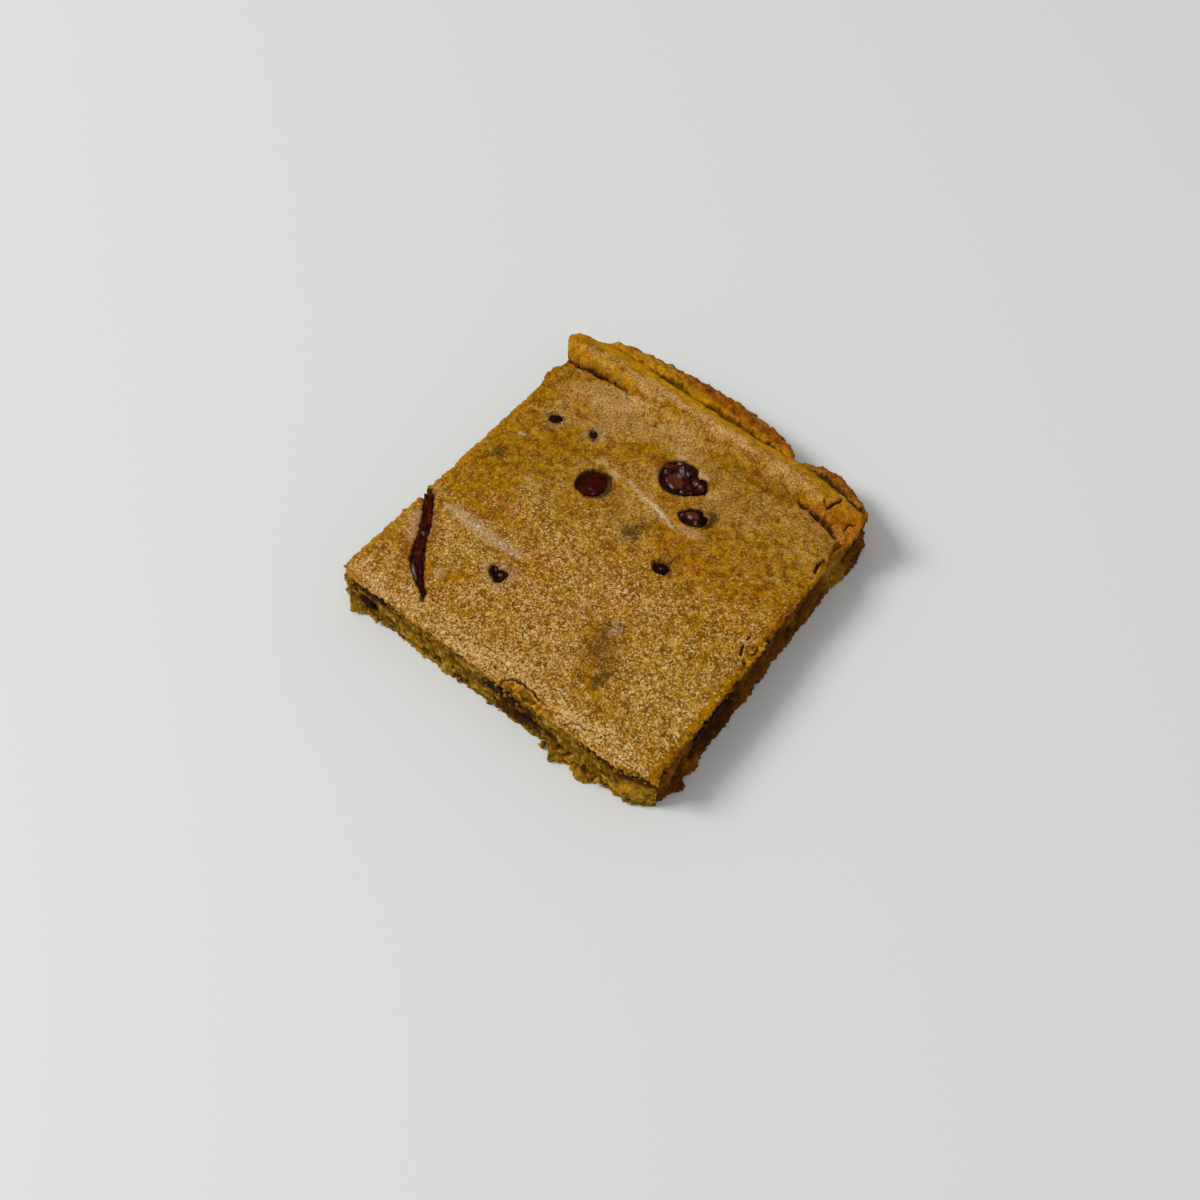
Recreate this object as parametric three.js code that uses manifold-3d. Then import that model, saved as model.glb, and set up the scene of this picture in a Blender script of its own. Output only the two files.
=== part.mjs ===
// A blondie: one square of a tray bake, cut by hand from the edge of its pan.
// Three sides are knife cuts through the crumb. The fourth is the browned pan edge, where the crust
// rolls up into a ridge and a rough lip leans away from it behind a crevice.
// Chocolate chips and a long shard are sunk in the crust, and more chips show in the cut sides.
//
// Units are millimetres and +Z is up. +X runs along the pan edge and +Y points towards it.
// While it is built, x = y = 0 is the middle of the cut square. The finished group is then
// moved so that its origin is the centre of its bounding box, at the base.

import * as THREE from 'three';
import { mergeVertices } from 'three/addons/utils/BufferGeometryUtils.js';
import Module from 'manifold-3d';

const { clamp, lerp, smoothstep, degToRad } = THREE.MathUtils;

const wasm = await Module();
wasm.setup();

// ---------------------------------------------------------------- driving dimensions

/** The cut square: its three knife-cut edges at the top, and its thickness. */
const SQUARE = {
  left: -44.6,
  right: 45.8,
  front: -45.5,
  thickness: 12.4,
  cornerRound: 1.8,
  rightCornerIn: 1.9,
};

/** The rolled ridge and the outer lip along the pan edge. Heights are above the crust. */
const RIM = {
  approach: 6,
  valleyY: 36.6,
  crestY: 43.3,
  creviceY: 48.9,
  crestRise: 1.9,
  valleyDepth: 0.7,
  shoulderFall: 2.1,
  creviceDepth: 1.4,
  lipShelf: 1.3,
  lipRise: -0.6,
  lipDrop: 3.1,
  leastReach: 1.0,
  undercut: 4.2,
};

/** The two lobes of the outer lip: their ends along x, and how far they reach past the crevice. */
const LIP_LOBES = [
  { from: -41.6, to: 20, reach: 7.8, roundness: 0.35 },
  { from: 23, to: 45, reach: 4.7, roundness: 0.45 },
];

/** The end of the ridge, which stands out past the left cut. */
const RIDGE_END = { y: 45.6, halfLength: 7.2, reach: 4.1 };

/** The cut sides: the crumb lies back under the thin crust and spreads a little at the base. */
const CRUMB = {
  overhang: 0.65,
  overhangAt: 0.86,
  roughness: 0.35,
  spread: { left: 0.4, right: 1.1, front: 0.5 },
};

/** Crumbs that the knife pushed out at the base: the side, the place along it, and the size. */
const BASE_CRUMBS = [
  { side: 'front', at: -39, half: 5.5, out: 2.0 },
  { side: 'front', at: -12, half: 4.5, out: 0.7 },
  { side: 'front', at: 21, half: 3.6, out: 3.4 },
  { side: 'front', at: 29, half: 5.5, out: 2.2 },
  { side: 'front', at: 40.8, half: 4.8, out: 2.0 },
  { side: 'right', at: -44, half: 4, out: -1.9 },
  { side: 'right', at: -36.4, half: 3.6, out: 2.1 },
  { side: 'right', at: -31.6, half: 4, out: 1.3 },
  { side: 'right', at: 31, half: 5.5, out: 0.9 },
];

/** The piece of crust torn down at the front edge, and the torn strip on the right edge. */
const TORN_FLAP = { x: 10, halfLength: 7, depthIn: 3.2, drop: 1.5 };
const TORN_STRIP = { y: -5.5, halfLength: 4.5, depthIn: 3, drop: 0.8 };

/** The clear gap kept between a piece of chocolate and the crumb that holds it. */
const GAP = 0.3;

/**
 * Chocolate sunk in the crust. Each piece is widest where it meets the crust: size is its length
 * and width there, rise its height above the crust and sink its depth below.
 */
const TOP_CHIPS = [
  { name: 'chip_large', at: [3.5, 26], turn: -20, size: [13.4, 9.4], rise: 1.1, sink: 4.6, lumps: 0.07 },
  { name: 'chip_round', at: [-13.3, 11.3], turn: 15, size: [8.6, 8.3], rise: 0.35, sink: 4.4, lumps: 0.02 },
  { name: 'chip_beside', at: [11.6, 17.8], turn: -12, size: [7.2, 4.8], rise: 0.8, sink: 3.6, lumps: 0.06 },
  { name: 'chip_pit', at: [14.4, 1.3], turn: 30, size: [4.4, 3.6], rise: 0.3, sink: 3.0, lumps: 0.05 },
  { name: 'chip_front', at: [-14.6, -24], turn: -25, size: [5.2, 3.4], rise: 0.5, sink: 3.0, lumps: 0.06 },
  { name: 'chip_left', at: [-34.2, 21.8], turn: 20, size: [4.2, 3.2], rise: 0.5, sink: 3.0, lumps: 0.04 },
  { name: 'chip_small', at: [-23.5, 23.5], turn: -50, size: [3.4, 2.4], rise: 0.4, sink: 2.6, lumps: 0.04 },
];

/**
 * Chips that the knife cut through. at and height are the middle of the cut face along the side
 * and above the base, length and tall its size, and deep how far the chip goes into the crumb.
 */
const CUT_CHIPS = [
  { name: 'cut_chip_left', side: 'front', at: -36.4, height: 9.3, length: 9.4, tall: 2.6, deep: 3.4 },
  { name: 'cut_chip_left_low', side: 'front', at: -37.2, height: 4.0, length: 5.4, tall: 2.2, deep: 2.8 },
  { name: 'cut_chip_middle', side: 'front', at: 4.6, height: 6.9, length: 10.2, tall: 2.8, deep: 3.6 },
  { name: 'cut_chip_base', side: 'front', at: 12.6, height: 2.9, length: 6.6, tall: 3.6, deep: 3.6 },
  { name: 'cut_chip_side', side: 'right', at: -21.5, height: 5.6, length: 13.0, tall: 5.4, deep: 4.0 },
];

/** How far the flat faces of the cut chips lie inside the crust's edge. */
const CUT_FACE_INSET = 0.35;

/** The long shard of chocolate that lies in a groove across the front left corner. */
const SHARD = {
  start: [-43.2, -16.4],
  bend: [-32.7, -30.7],
  end: [-23.4, -40.2],
  halfWidth: 1.7,
  wideAt: 0.56,
  extraWidth: 0.5,
  tipWidth: 0.5,
  below: 0.35,
  rise: 0.5,
  deep: 2.6,
  openTop: 2.5,
  grooveGap: 0.45,
};

/** The larger cracks in the crust: their ends, how far the middle bows out, half width and depth. */
const CRACKS = [
  { from: [-41.2, 39.6], to: [-25.8, 39.9], bow: [0, 0.4], halfWidth: 0.7, deep: 1.8 },
  { from: [32.8, 35.9], to: [41.4, 33.2], bow: [0, 0.4], halfWidth: 0.5, deep: 1.4 },
  { from: [36.9, 44.2], to: [35.7, 40.2], bow: [0.3, 0], halfWidth: 0.4, deep: 1.2 },
  { from: [43.4, 26.4], to: [42.8, 21.8], bow: [-0.3, 0], halfWidth: 0.4, deep: 1.4 },
  { from: [41.6, -1.8], to: [42.4, -8.2], bow: [-0.2, 0], halfWidth: 0.3, deep: 1.2 },
  { from: [4.6, -44.2], to: [14.6, -43.7], bow: [0, 1.5], halfWidth: 0.4, deep: 1.4 },
];

/** The nick in the left edge where the groove runs out. */
const NICK = { x: -45.4, y: -15.4, length: 4.4, width: 2.8, deep: 3.4 };

/** Rows and columns of the slab's surface, as counts between its main lines. */
const GRID = {
  edgeColumns: 3,
  edgeBand: 4.5,
  middleColumns: 32,
  frontRows: 3,
  frontBand: 4.5,
  fieldRows: 16,
  approachRows: 2,
  innerRimRows: 4,
  outerRimRows: 5,
  lipRows: 4,
};

/**
 * Heights of the rings of points on the sides, as fractions of the thickness. The lowest ring
 * is below the base, where the slab is then cut off flat.
 */
const SIDE_LEVELS = [-0.1, 0.1, 0.3, 0.52, 0.72, CRUMB.overhangAt, 1];

const CRUST = new THREE.MeshStandardMaterial({ color: 0xb98747, roughness: 0.8, metalness: 0 });
const CHOCOLATE = new THREE.MeshStandardMaterial({ color: 0x3b1a10, roughness: 0.4, metalness: 0 });

// ---------------------------------------------------------------- small shape functions

/** A smooth hump: 1 at the centre, 0 at half away from it and beyond. */
function hump(value, centre, half) {
  const t = clamp((value - centre) / half, -1, 1);
  return 0.5 + 0.5 * Math.cos(Math.PI * t);
}

/** A full-bellied arch from 0 through 1 to 0, steeper at its ends the smaller roundness is. */
function arch(value, from, to, roundness) {
  const t = clamp((2 * value - from - to) / (to - from), -1, 1);
  return (1 - t * t) ** roundness;
}

/** An uneven wave between about -1 and 1, which does not repeat over the length of a side. */
function wave(along, across, seed) {
  const slow = Math.sin(along * 0.61 + across * 1.7 + seed);
  const fast = Math.sin(along * 1.43 - across * 2.9 + seed * 2.3);
  return 0.6 * slow + 0.4 * fast;
}

/** Splits a run from 0 to 1 into even steps between the given stops. */
function steps(sections) {
  const stops = [0];
  let start = 0;
  for (const { count, to } of sections) {
    for (let i = 1; i <= count; i += 1) {
      stops.push(lerp(start, to, i / count));
    }
    start = to;
  }
  return stops;
}

// ---------------------------------------------------------------- lines of the slab, seen from above

/** The bottom of the soft valley between the flat crust and the ridge. */
function valleyLine(x) {
  const towardsLeft = 3.4 * (1 - smoothstep(x, -28, -14));
  const towardsRight = 2.8 * smoothstep(x, 30, 44);
  return RIM.valleyY + towardsLeft - towardsRight;
}

/** The top of the rolled ridge. */
function crestLine(x) {
  const towardsLeft = 1.2 * (1 - smoothstep(x, -30, -10));
  const towardsRight = 2.2 * smoothstep(x, 15, 44);
  return RIM.crestY + towardsLeft - towardsRight;
}

/** The ridge's own outer shoulder, which the lip reaches out from. */
function shoulderLine(x) {
  const towardsLeft = 1.1 * (1 - smoothstep(x, -36, -18));
  const towardsMiddle = 0.8 * smoothstep(x, -5, 20);
  const towardsRight = 4.6 * smoothstep(x, 22, 48) ** 1.3;
  return RIM.creviceY + towardsLeft - towardsMiddle - towardsRight;
}

/** How far the outer lip reaches past the shoulder. */
function lipReach(x) {
  const lobes = LIP_LOBES.map((lobe) => lobe.reach * arch(x, lobe.from, lobe.to, lobe.roundness));
  return RIM.leastReach + Math.max(...lobes);
}

/** How much of the lip there is at x, from 0 at its gap and ends to 1. */
function lipShare(x) {
  return clamp((lipReach(x) - RIM.leastReach) / LIP_LOBES[0].reach, 0, 1);
}

/** The crevice behind the ridge, which runs out over the shoulder towards the left. */
function creviceLine(x) {
  const runsOut = 1.5 * (1 - smoothstep(x, -15, 2));
  return shoulderLine(x) + (runsOut + 0.3) * lipShare(x);
}

/** The outermost line of the pan edge. */
function outerLine(x) {
  return shoulderLine(x) + lipReach(x) + 0.25 * wave(x * 1.6, 0, 4);
}

/** The front knife cut: a little skewed, rounded off on the left, and broken back on the right. */
function frontLine(x) {
  const skew = -0.4 * smoothstep(x, -20, 30);
  const corner = SQUARE.cornerRound * (1 - smoothstep(x, SQUARE.left, SQUARE.left + 3)) ** 2;
  const brokenBack = SQUARE.rightCornerIn * smoothstep(x, 36.5, 41);
  return SQUARE.front + skew + corner + brokenBack + 0.12 * wave(x, 0, 1);
}

/** How far the left edge stands out from its straight line: the end of the ridge, and a bulge. */
function leftShift(y) {
  const ridgeEnd = -RIDGE_END.reach * hump(y, RIDGE_END.y, RIDGE_END.halfLength);
  const bulge = -1.5 * hump(y, 33.5, 6.5);
  return ridgeEnd + bulge + 0.1 * wave(y, 0, 2);
}

/** How far the right edge stands out: it draws in towards the back and round the pan's corner. */
function rightShift(y) {
  const frontCorner = 1.3 * hump(y, -44, 3.6);
  const backHalf = -0.7 * smoothstep(y, -4, 4) * (1 - smoothstep(y, 30, 38));
  const torn = -0.7 * hump(y, 30, 5);
  const panCorner = -1.6 * smoothstep(y, 38, 48);
  return frontCorner + backHalf + torn + panCorner + 0.12 * wave(y, 0, 3);
}

// ---------------------------------------------------------------- height of the crust

/** Height of the ridge, crevice and lip over the flat crust, at a point of the pan edge. */
function rimHeight(x, y) {
  const valley = valleyLine(x);
  const crest = crestLine(x);
  const crevice = creviceLine(x);
  const share = lipShare(x);
  const leftward = 1 - 0.45 * (1 - smoothstep(x, -30, -18));
  const creviceHeight = -RIM.creviceDepth * lerp(0.4, 1, share) * leftward;
  if (y <= valley) {
    return -RIM.valleyDepth * smoothstep(y, valley - RIM.approach, valley);
  }
  if (y <= crest) {
    return lerp(-RIM.valleyDepth, RIM.crestRise, smoothstep(y, valley, crest));
  }
  if (y <= crevice) {
    const t = (y - crest) / (crevice - crest);
    return lerp(RIM.crestRise, creviceHeight, t ** RIM.shoulderFall);
  }
  const shelf = crevice + RIM.lipShelf * lerp(0.3, 1, share);
  const shelfHeight = lerp(creviceHeight - 0.4, RIM.lipRise, share);
  if (y <= shelf) {
    return lerp(creviceHeight, shelfHeight, (y - crevice) / (shelf - crevice));
  }
  const t = clamp((y - shelf) / (outerLine(x) - shelf), 0, 1);
  return lerp(shelfHeight, -RIM.lipDrop, t ** 1.6);
}

/** Height of the crust above the base. */
function crustHeight(x, y) {
  const sway = 0.18 * Math.sin(x * 0.09 + 0.6) * Math.sin(y * 0.07 - 0.4);
  const flapIn = 1 - smoothstep(y, frontLine(x), frontLine(x) + TORN_FLAP.depthIn);
  const { x: flapX, halfLength: flapHalf } = TORN_FLAP;
  const flap = TORN_FLAP.drop * arch(x, flapX - flapHalf, flapX + flapHalf, 0.5);
  const stripIn = smoothstep(x, SQUARE.right - TORN_STRIP.depthIn, SQUARE.right);
  const strip = TORN_STRIP.drop * hump(y, TORN_STRIP.y, TORN_STRIP.halfLength);
  return SQUARE.thickness + sway + rimHeight(x, y) - flap * flapIn - strip * stripIn;
}

// ---------------------------------------------------------------- sides

/** How far a crumb side stands out from the crust's edge, at a level from 0, the base, to 1. */
function crumbOffset(side, along, height) {
  const level = clamp(height, 0, 1);
  const tuckedIn = (1 - smoothstep(level, CRUMB.overhangAt, 1)) * smoothstep(level, 0, 0.8);
  const underCrust = -CRUMB.overhang * tuckedIn;
  const spread = CRUMB.spread[side] * (1 - level) ** 1.5;
  let crumbs = 0;
  for (const crumb of BASE_CRUMBS.filter((entry) => entry.side === side)) {
    crumbs += crumb.out * hump(along, crumb.at, crumb.half) * (1 - smoothstep(level, 0.1, 0.55));
  }
  const rough = CRUMB.roughness * wave(along, level * 6, side.length) * Math.sin(Math.PI * level) ** 0.5;
  return underCrust + spread + crumbs + rough;
}

/** How far the pan side stands out from the lip's edge: the wall leans in below the lip. */
function panOffset(x, height) {
  const level = clamp(height, 0, 1);
  const lean = -RIM.undercut * lipShare(x) * (1 - level) ** 0.8;
  const panCorner = -1.2 * (1 - smoothstep(level, 0, 0.25));
  return lean + panCorner + 0.3 * wave(x, level * 4, 9) * Math.sin(Math.PI * level);
}

// ---------------------------------------------------------------- the slab

/** Fractions of the way from the left to the right edge at which the columns stand. */
function columnStops() {
  const band = GRID.edgeBand / (SQUARE.right - SQUARE.left);
  return steps([
    { count: GRID.edgeColumns, to: band },
    { count: GRID.middleColumns, to: 1 - band },
    { count: GRID.edgeColumns, to: 1 },
  ]);
}

/** The lines that the rows follow, from the front cut to the pan edge, with the rows up to each. */
const ROW_LINES = [
  { rows: 0, line: frontLine },
  { rows: GRID.frontRows, line: (x) => frontLine(x) + GRID.frontBand },
  { rows: GRID.fieldRows, line: (x) => valleyLine(x) - RIM.approach },
  { rows: GRID.approachRows, line: valleyLine },
  { rows: GRID.innerRimRows, line: crestLine },
  { rows: GRID.outerRimRows, line: creviceLine },
  { rows: 1, line: (x) => creviceLine(x) + RIM.lipShelf * lerp(0.3, 1, lipShare(x)) },
  { rows: GRID.lipRows, line: outerLine },
];

/** The y of a row at column position x. */
function rowY(row, x) {
  let first = 0;
  for (let i = 1; i < ROW_LINES.length; i += 1) {
    const { rows, line } = ROW_LINES[i];
    if (row <= first + rows) {
      return lerp(ROW_LINES[i - 1].line(x), line(x), (row - first) / rows);
    }
    first += rows;
  }
  return outerLine(x);
}

/** A point of the slab's surface, from its column's stop, its row and its level. */
function slabPoint(stop, row, lastRow, level) {
  const straightX = lerp(SQUARE.left, SQUARE.right, stop);
  const topY = rowY(row, straightX);
  const topX = straightX + leftShift(topY) * (1 - stop) ** 8 + rightShift(topY) * stop ** 8;
  const inward = (topY - rowY(0, straightX)) / (rowY(lastRow, straightX) - rowY(0, straightX));
  const rimEndLean = 1 + 0.6 * leftShift(topY) * hump(topY, RIDGE_END.y, RIDGE_END.halfLength);
  const out = {
    left: crumbOffset('left', topY, level) + (1 - level) * (rimEndLean - 1),
    right: crumbOffset('right', topY, level),
    front: crumbOffset('front', topX, level),
    back: panOffset(topX, level),
  };
  const x = topX - out.left * (1 - stop) + out.right * stop;
  const y = topY - out.front * (1 - inward) + out.back * inward;
  return [x, y, level * crustHeight(topX, topY)];
}

/** The slab: a divided box whose points are moved to the slab's surface. */
function slabGeometry() {
  const columns = columnStops();
  const lastColumn = columns.length - 1;
  const lastRow = ROW_LINES.reduce((sum, entry) => sum + entry.rows, 0);
  const lastLevel = SIDE_LEVELS.length - 1;
  const geometry = new THREE.BoxGeometry(1, 1, 1, lastColumn, lastRow, lastLevel);
  const place = geometry.getAttribute('position');
  for (let i = 0; i < place.count; i += 1) {
    const column = Math.round((place.getX(i) + 0.5) * lastColumn);
    const row = Math.round((place.getY(i) + 0.5) * lastRow);
    const level = Math.round((place.getZ(i) + 0.5) * lastLevel);
    place.setXYZ(i, ...slabPoint(columns[column], row, lastRow, SIDE_LEVELS[level]));
  }
  return geometry;
}

// ---------------------------------------------------------------- solids and booleans

/** A closed geometry as a solid that can be cut and joined. */
function toSolid(geometry) {
  const bare = geometry.clone();
  bare.deleteAttribute('normal');
  bare.deleteAttribute('uv');
  const merged = mergeVertices(bare);
  return new wasm.Manifold(new wasm.Mesh({
    numProp: 3,
    vertProperties: new Float32Array(merged.getAttribute('position').array),
    triVerts: new Uint32Array(merged.getIndex().array),
  }));
}

/** A solid as a named mesh. */
function toMesh(name, solid, material) {
  const data = solid.getMesh();
  const geometry = new THREE.BufferGeometry();
  geometry.setAttribute('position', new THREE.BufferAttribute(new Float32Array(data.vertProperties), 3));
  geometry.setIndex(new THREE.BufferAttribute(new Uint32Array(data.triVerts), 1));
  geometry.computeVertexNormals();
  const mesh = new THREE.Mesh(geometry, material);
  mesh.name = name;
  return mesh;
}

// ---------------------------------------------------------------- chocolate

/** A lumpy ball that is stretched to six half sizes, one each way along its three axes. */
function lumpGeometry({ halfX, halfY, up, down, lumps, seed }) {
  const geometry = new THREE.SphereGeometry(1, 12, 8);
  geometry.rotateX(Math.PI / 2);
  const place = geometry.getAttribute('position');
  for (let i = 0; i < place.count; i += 1) {
    const x = place.getX(i);
    const y = place.getY(i);
    const z = place.getZ(i);
    const broad = Math.sin(3.1 * x + 2.2 * y + seed);
    const fine = Math.sin(4.3 * y - 2.7 * x + 2 * z + 2 * seed);
    const swell = 1 + lumps * (broad + fine);
    const height = z > 0 ? up * Math.sqrt(z) : down * z;
    place.setXYZ(i, x * halfX * swell, y * halfY * swell, height);
  }
  return geometry;
}

/** A chip in the crust, grown on all sides by the given amount. */
function topChipSolid(chip, seed, grow) {
  const [length, width] = chip.size;
  const geometry = lumpGeometry({
    halfX: length / 2 + grow,
    halfY: width / 2 + grow,
    up: chip.rise + grow,
    down: chip.sink + grow,
    lumps: chip.lumps,
    seed,
  });
  geometry.rotateZ(degToRad(chip.turn));
  geometry.translate(...chip.at, crustHeight(...chip.at));
  return toSolid(geometry);
}

/** Where the flat face of a cut chip lies: a point on it, and the turn that faces it outwards. */
function cutFace(chip) {
  if (chip.side === 'front') {
    return { x: chip.at, y: frontLine(chip.at) + CUT_FACE_INSET, turn: 0 };
  }
  return { x: SQUARE.right + rightShift(chip.at) - CUT_FACE_INSET, y: chip.at, turn: Math.PI / 2 };
}

/** A chip in a cut side, as a whole ball about the middle of its cut face. */
function cutChipBall(chip, seed, grow) {
  const geometry = lumpGeometry({
    halfX: chip.length / 2 + grow,
    halfY: chip.deep + grow,
    up: chip.tall / 2 + grow,
    down: chip.tall / 2 + grow,
    lumps: 0.05,
    seed,
  });
  const face = cutFace(chip);
  geometry.rotateZ(face.turn);
  geometry.translate(face.x, face.y, chip.height);
  return toSolid(geometry);
}

/** The room inside the cut face, which the knife left to the chip. */
function insideOfCut(chip) {
  const reach = chip.length + chip.deep;
  const geometry = new THREE.BoxGeometry(2 * reach, reach, 2 * reach);
  geometry.translate(0, reach / 2, 0);
  const face = cutFace(chip);
  geometry.rotateZ(face.turn);
  geometry.translate(face.x, face.y, chip.height);
  return toSolid(geometry);
}

/** Half the width of the shard at t, from 0 at the left edge to 1 at its tip. */
function shardHalfWidth(t) {
  const belly = SHARD.extraWidth * hump(t, SHARD.wideAt, 0.3);
  return lerp(SHARD.halfWidth + belly, SHARD.tipWidth, smoothstep(t, 0.6, 1));
}

/** A curve seen from above, from one point to another and pulled towards a third. */
function flatCurve(start, pull, end) {
  const [from, towards, to] = [start, pull, end].map(([x, y]) => new THREE.Vector3(x, y, 0));
  return new THREE.QuadraticBezierCurve3(from, towards, to);
}

/**
 * A long thin body that follows a curve over the crust: halfWidth and depth depend on t along it,
 * middle is the height of its widest line over the crust, and clearance is added on all sides.
 */
function sliverSolid({ path, sides, segments, halfWidth, depth, top, middle, clearance }) {
  const geometry = new THREE.CylinderGeometry(1, 1, 1, sides, segments);
  const place = geometry.getAttribute('position');
  for (let i = 0; i < place.count; i += 1) {
    const t = clamp(place.getY(i) + 0.5, 0, 1);
    const centre = path.getPoint(t);
    const forward = path.getTangent(t);
    const reach = (2 * t - 1) * clearance;
    const side = place.getX(i) * (halfWidth(t) + clearance);
    const x = centre.x + forward.x * reach + forward.y * side;
    const y = centre.y + forward.y * reach - forward.x * side;
    const up = place.getZ(i);
    const rise = up > 0 ? top * up : (depth(t) + clearance) * up;
    place.setXYZ(i, x, y, crustHeight(centre.x, centre.y) + middle + rise);
  }
  return toSolid(geometry);
}

/** The shard, or with a clearance and an open top the groove that it lies in. */
function shardSolid(clearance, top) {
  return sliverSolid({
    path: flatCurve(SHARD.start, SHARD.bend, SHARD.end),
    sides: 10,
    segments: 12,
    halfWidth: shardHalfWidth,
    depth: (t) => SHARD.deep * lerp(1, 0.45, smoothstep(t, 0.7, 1)),
    top,
    middle: -SHARD.below,
    clearance,
  });
}

/** The gape of one crack, open above the crust. */
function crackSolid({ from, to, bow, halfWidth, deep }) {
  const pull = [
    (from[0] + to[0]) / 2 + 2 * bow[0],
    (from[1] + to[1]) / 2 + 2 * bow[1],
  ];
  const gape = (t) => 0.25 + 0.75 * arch(t, 0, 1, 0.5);
  return sliverSolid({
    path: flatCurve(from, pull, to),
    sides: 6,
    segments: 5,
    halfWidth: (t) => halfWidth * gape(t),
    depth: (t) => deep * gape(t),
    top: 3,
    middle: 0,
    clearance: 0,
  });
}

/** All the room above the base. */
function aboveBase() {
  const size = 4 * SQUARE.right;
  const geometry = new THREE.BoxGeometry(size, size, size);
  geometry.translate(0, 0, size / 2);
  return toSolid(geometry);
}

/** The nick at the left edge. */
function nickSolid() {
  const geometry = lumpGeometry({
    halfX: NICK.length / 2,
    halfY: NICK.width / 2,
    up: 3,
    down: NICK.deep,
    lumps: 0.05,
    seed: 3,
  });
  geometry.translate(NICK.x, NICK.y, SQUARE.thickness);
  return toSolid(geometry);
}

// ---------------------------------------------------------------- assembly

/** Builds the whole square and sets its origin under the middle of its bounding box. */
function blondie() {
  let cake = toSolid(slabGeometry()).intersect(aboveBase());
  const pieces = [];
  TOP_CHIPS.forEach((chip, index) => {
    cake = cake.subtract(topChipSolid(chip, index, GAP));
    pieces.push(toMesh(chip.name, topChipSolid(chip, index, 0), CHOCOLATE));
  });
  CUT_CHIPS.forEach((chip, index) => {
    cake = cake.subtract(cutChipBall(chip, index, GAP));
    pieces.push(toMesh(chip.name, cutChipBall(chip, index, 0).intersect(insideOfCut(chip)), CHOCOLATE));
  });
  for (const crack of CRACKS) {
    cake = cake.subtract(crackSolid(crack));
  }
  cake = cake.subtract(nickSolid()).subtract(shardSolid(SHARD.grooveGap, SHARD.openTop));
  pieces.push(toMesh('chocolate_shard', shardSolid(0, SHARD.rise), CHOCOLATE));
  pieces.unshift(toMesh('cake', cake, CRUST));

  const square = new THREE.Group();
  square.add(...pieces);
  const box = new THREE.Box3().setFromObject(square);
  const centre = box.getCenter(new THREE.Vector3());
  square.position.set(-centre.x, -centre.y, -box.min.z);

  const whole = new THREE.Group();
  whole.add(square);
  return whole;
}

export default blondie();
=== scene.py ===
"""A blondie: one hand-cut square of tray bake with a browned pan edge.

The baked crust, the cut crumb, the base and every piece of chocolate are separate pieces around
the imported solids. Sizes are in millimetres, measured from the middle of the cut square, with +X
along the pan edge, +Y towards it and +Z up. Each finished piece is moved into the part's own
frame and scaled to metres in its mesh, so that its object stays at the origin.
"""

import itertools
import logging
import math
from collections.abc import Sequence
from dataclasses import dataclass, field
from enum import Enum

import bmesh
import bpy
import numpy as np
from mathutils import Matrix, Vector


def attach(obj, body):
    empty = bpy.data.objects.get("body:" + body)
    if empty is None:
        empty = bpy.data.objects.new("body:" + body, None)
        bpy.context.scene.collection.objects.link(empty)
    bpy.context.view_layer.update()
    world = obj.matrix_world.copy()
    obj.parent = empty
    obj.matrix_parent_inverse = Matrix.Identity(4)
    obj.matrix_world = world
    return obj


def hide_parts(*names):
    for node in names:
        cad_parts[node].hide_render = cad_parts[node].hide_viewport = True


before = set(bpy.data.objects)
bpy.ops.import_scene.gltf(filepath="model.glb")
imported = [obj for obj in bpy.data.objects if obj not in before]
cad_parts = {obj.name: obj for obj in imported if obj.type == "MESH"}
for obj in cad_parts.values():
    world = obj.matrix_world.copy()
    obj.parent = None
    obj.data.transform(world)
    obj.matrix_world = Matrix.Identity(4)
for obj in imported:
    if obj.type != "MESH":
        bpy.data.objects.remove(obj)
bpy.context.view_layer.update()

log = logging.getLogger("blondie")

MM = 0.001
BODY = "root"

Colour = tuple[float, float, float]
Point2 = tuple[float, float]
Piece = bpy.types.Object
Socket = bpy.types.NodeSocket
Values = np.ndarray


class Slot(Enum):
    """The record's material slots."""

    BAKE = "crust_and_crumb"
    CHOCOLATE = "chocolate"


class Side(Enum):
    """The sides of the square, numbered on the way round it from the front left corner."""

    FRONT = 0
    RIGHT = 1
    BACK = 2
    LEFT = 3

    def share(self, side: Values) -> Values:
        """1 where the points belong to this side, and 0 elsewhere."""
        return (side == self.value).astype(float)

    def along(self, x: Values, y: Values) -> Values:
        """The coordinate that runs along this side."""
        return x if self in (Side.FRONT, Side.BACK) else y


# ---------------- shape helpers


def ramp(value: Values, low: float, high: float) -> Values:
    """Eases from 0 to 1 between two values.

    Args:
        value: What to ease.
        low: Where the result is 0. It may be above high, for a falling step.
        high: Where the result is 1.

    Returns:
        The eased step, from 0 to 1.
    """
    t = np.clip((value - low) / (high - low), 0.0, 1.0)
    return t * t * (3.0 - 2.0 * t)


def hump(value: Values, centre: float, half: float) -> Values:
    """A smooth hump: 1 at the centre and 0 at half away from it and beyond."""
    t = np.clip((value - centre) / half, -1.0, 1.0)
    return 0.5 + 0.5 * np.cos(math.pi * t)


def arch(value: Values, start: float, end: float, roundness: float) -> Values:
    """A full-bellied arch between two values, steeper at its ends the less round it is."""
    t = np.clip((2.0 * value - start - end) / (end - start), -1.0, 1.0)
    return (1.0 - t * t) ** roundness


def blend(first: Values, second: Values, share: Values) -> Values:
    """Goes from the first value to the second as the share goes from 0 to 1."""
    return first + (second - first) * share


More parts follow.
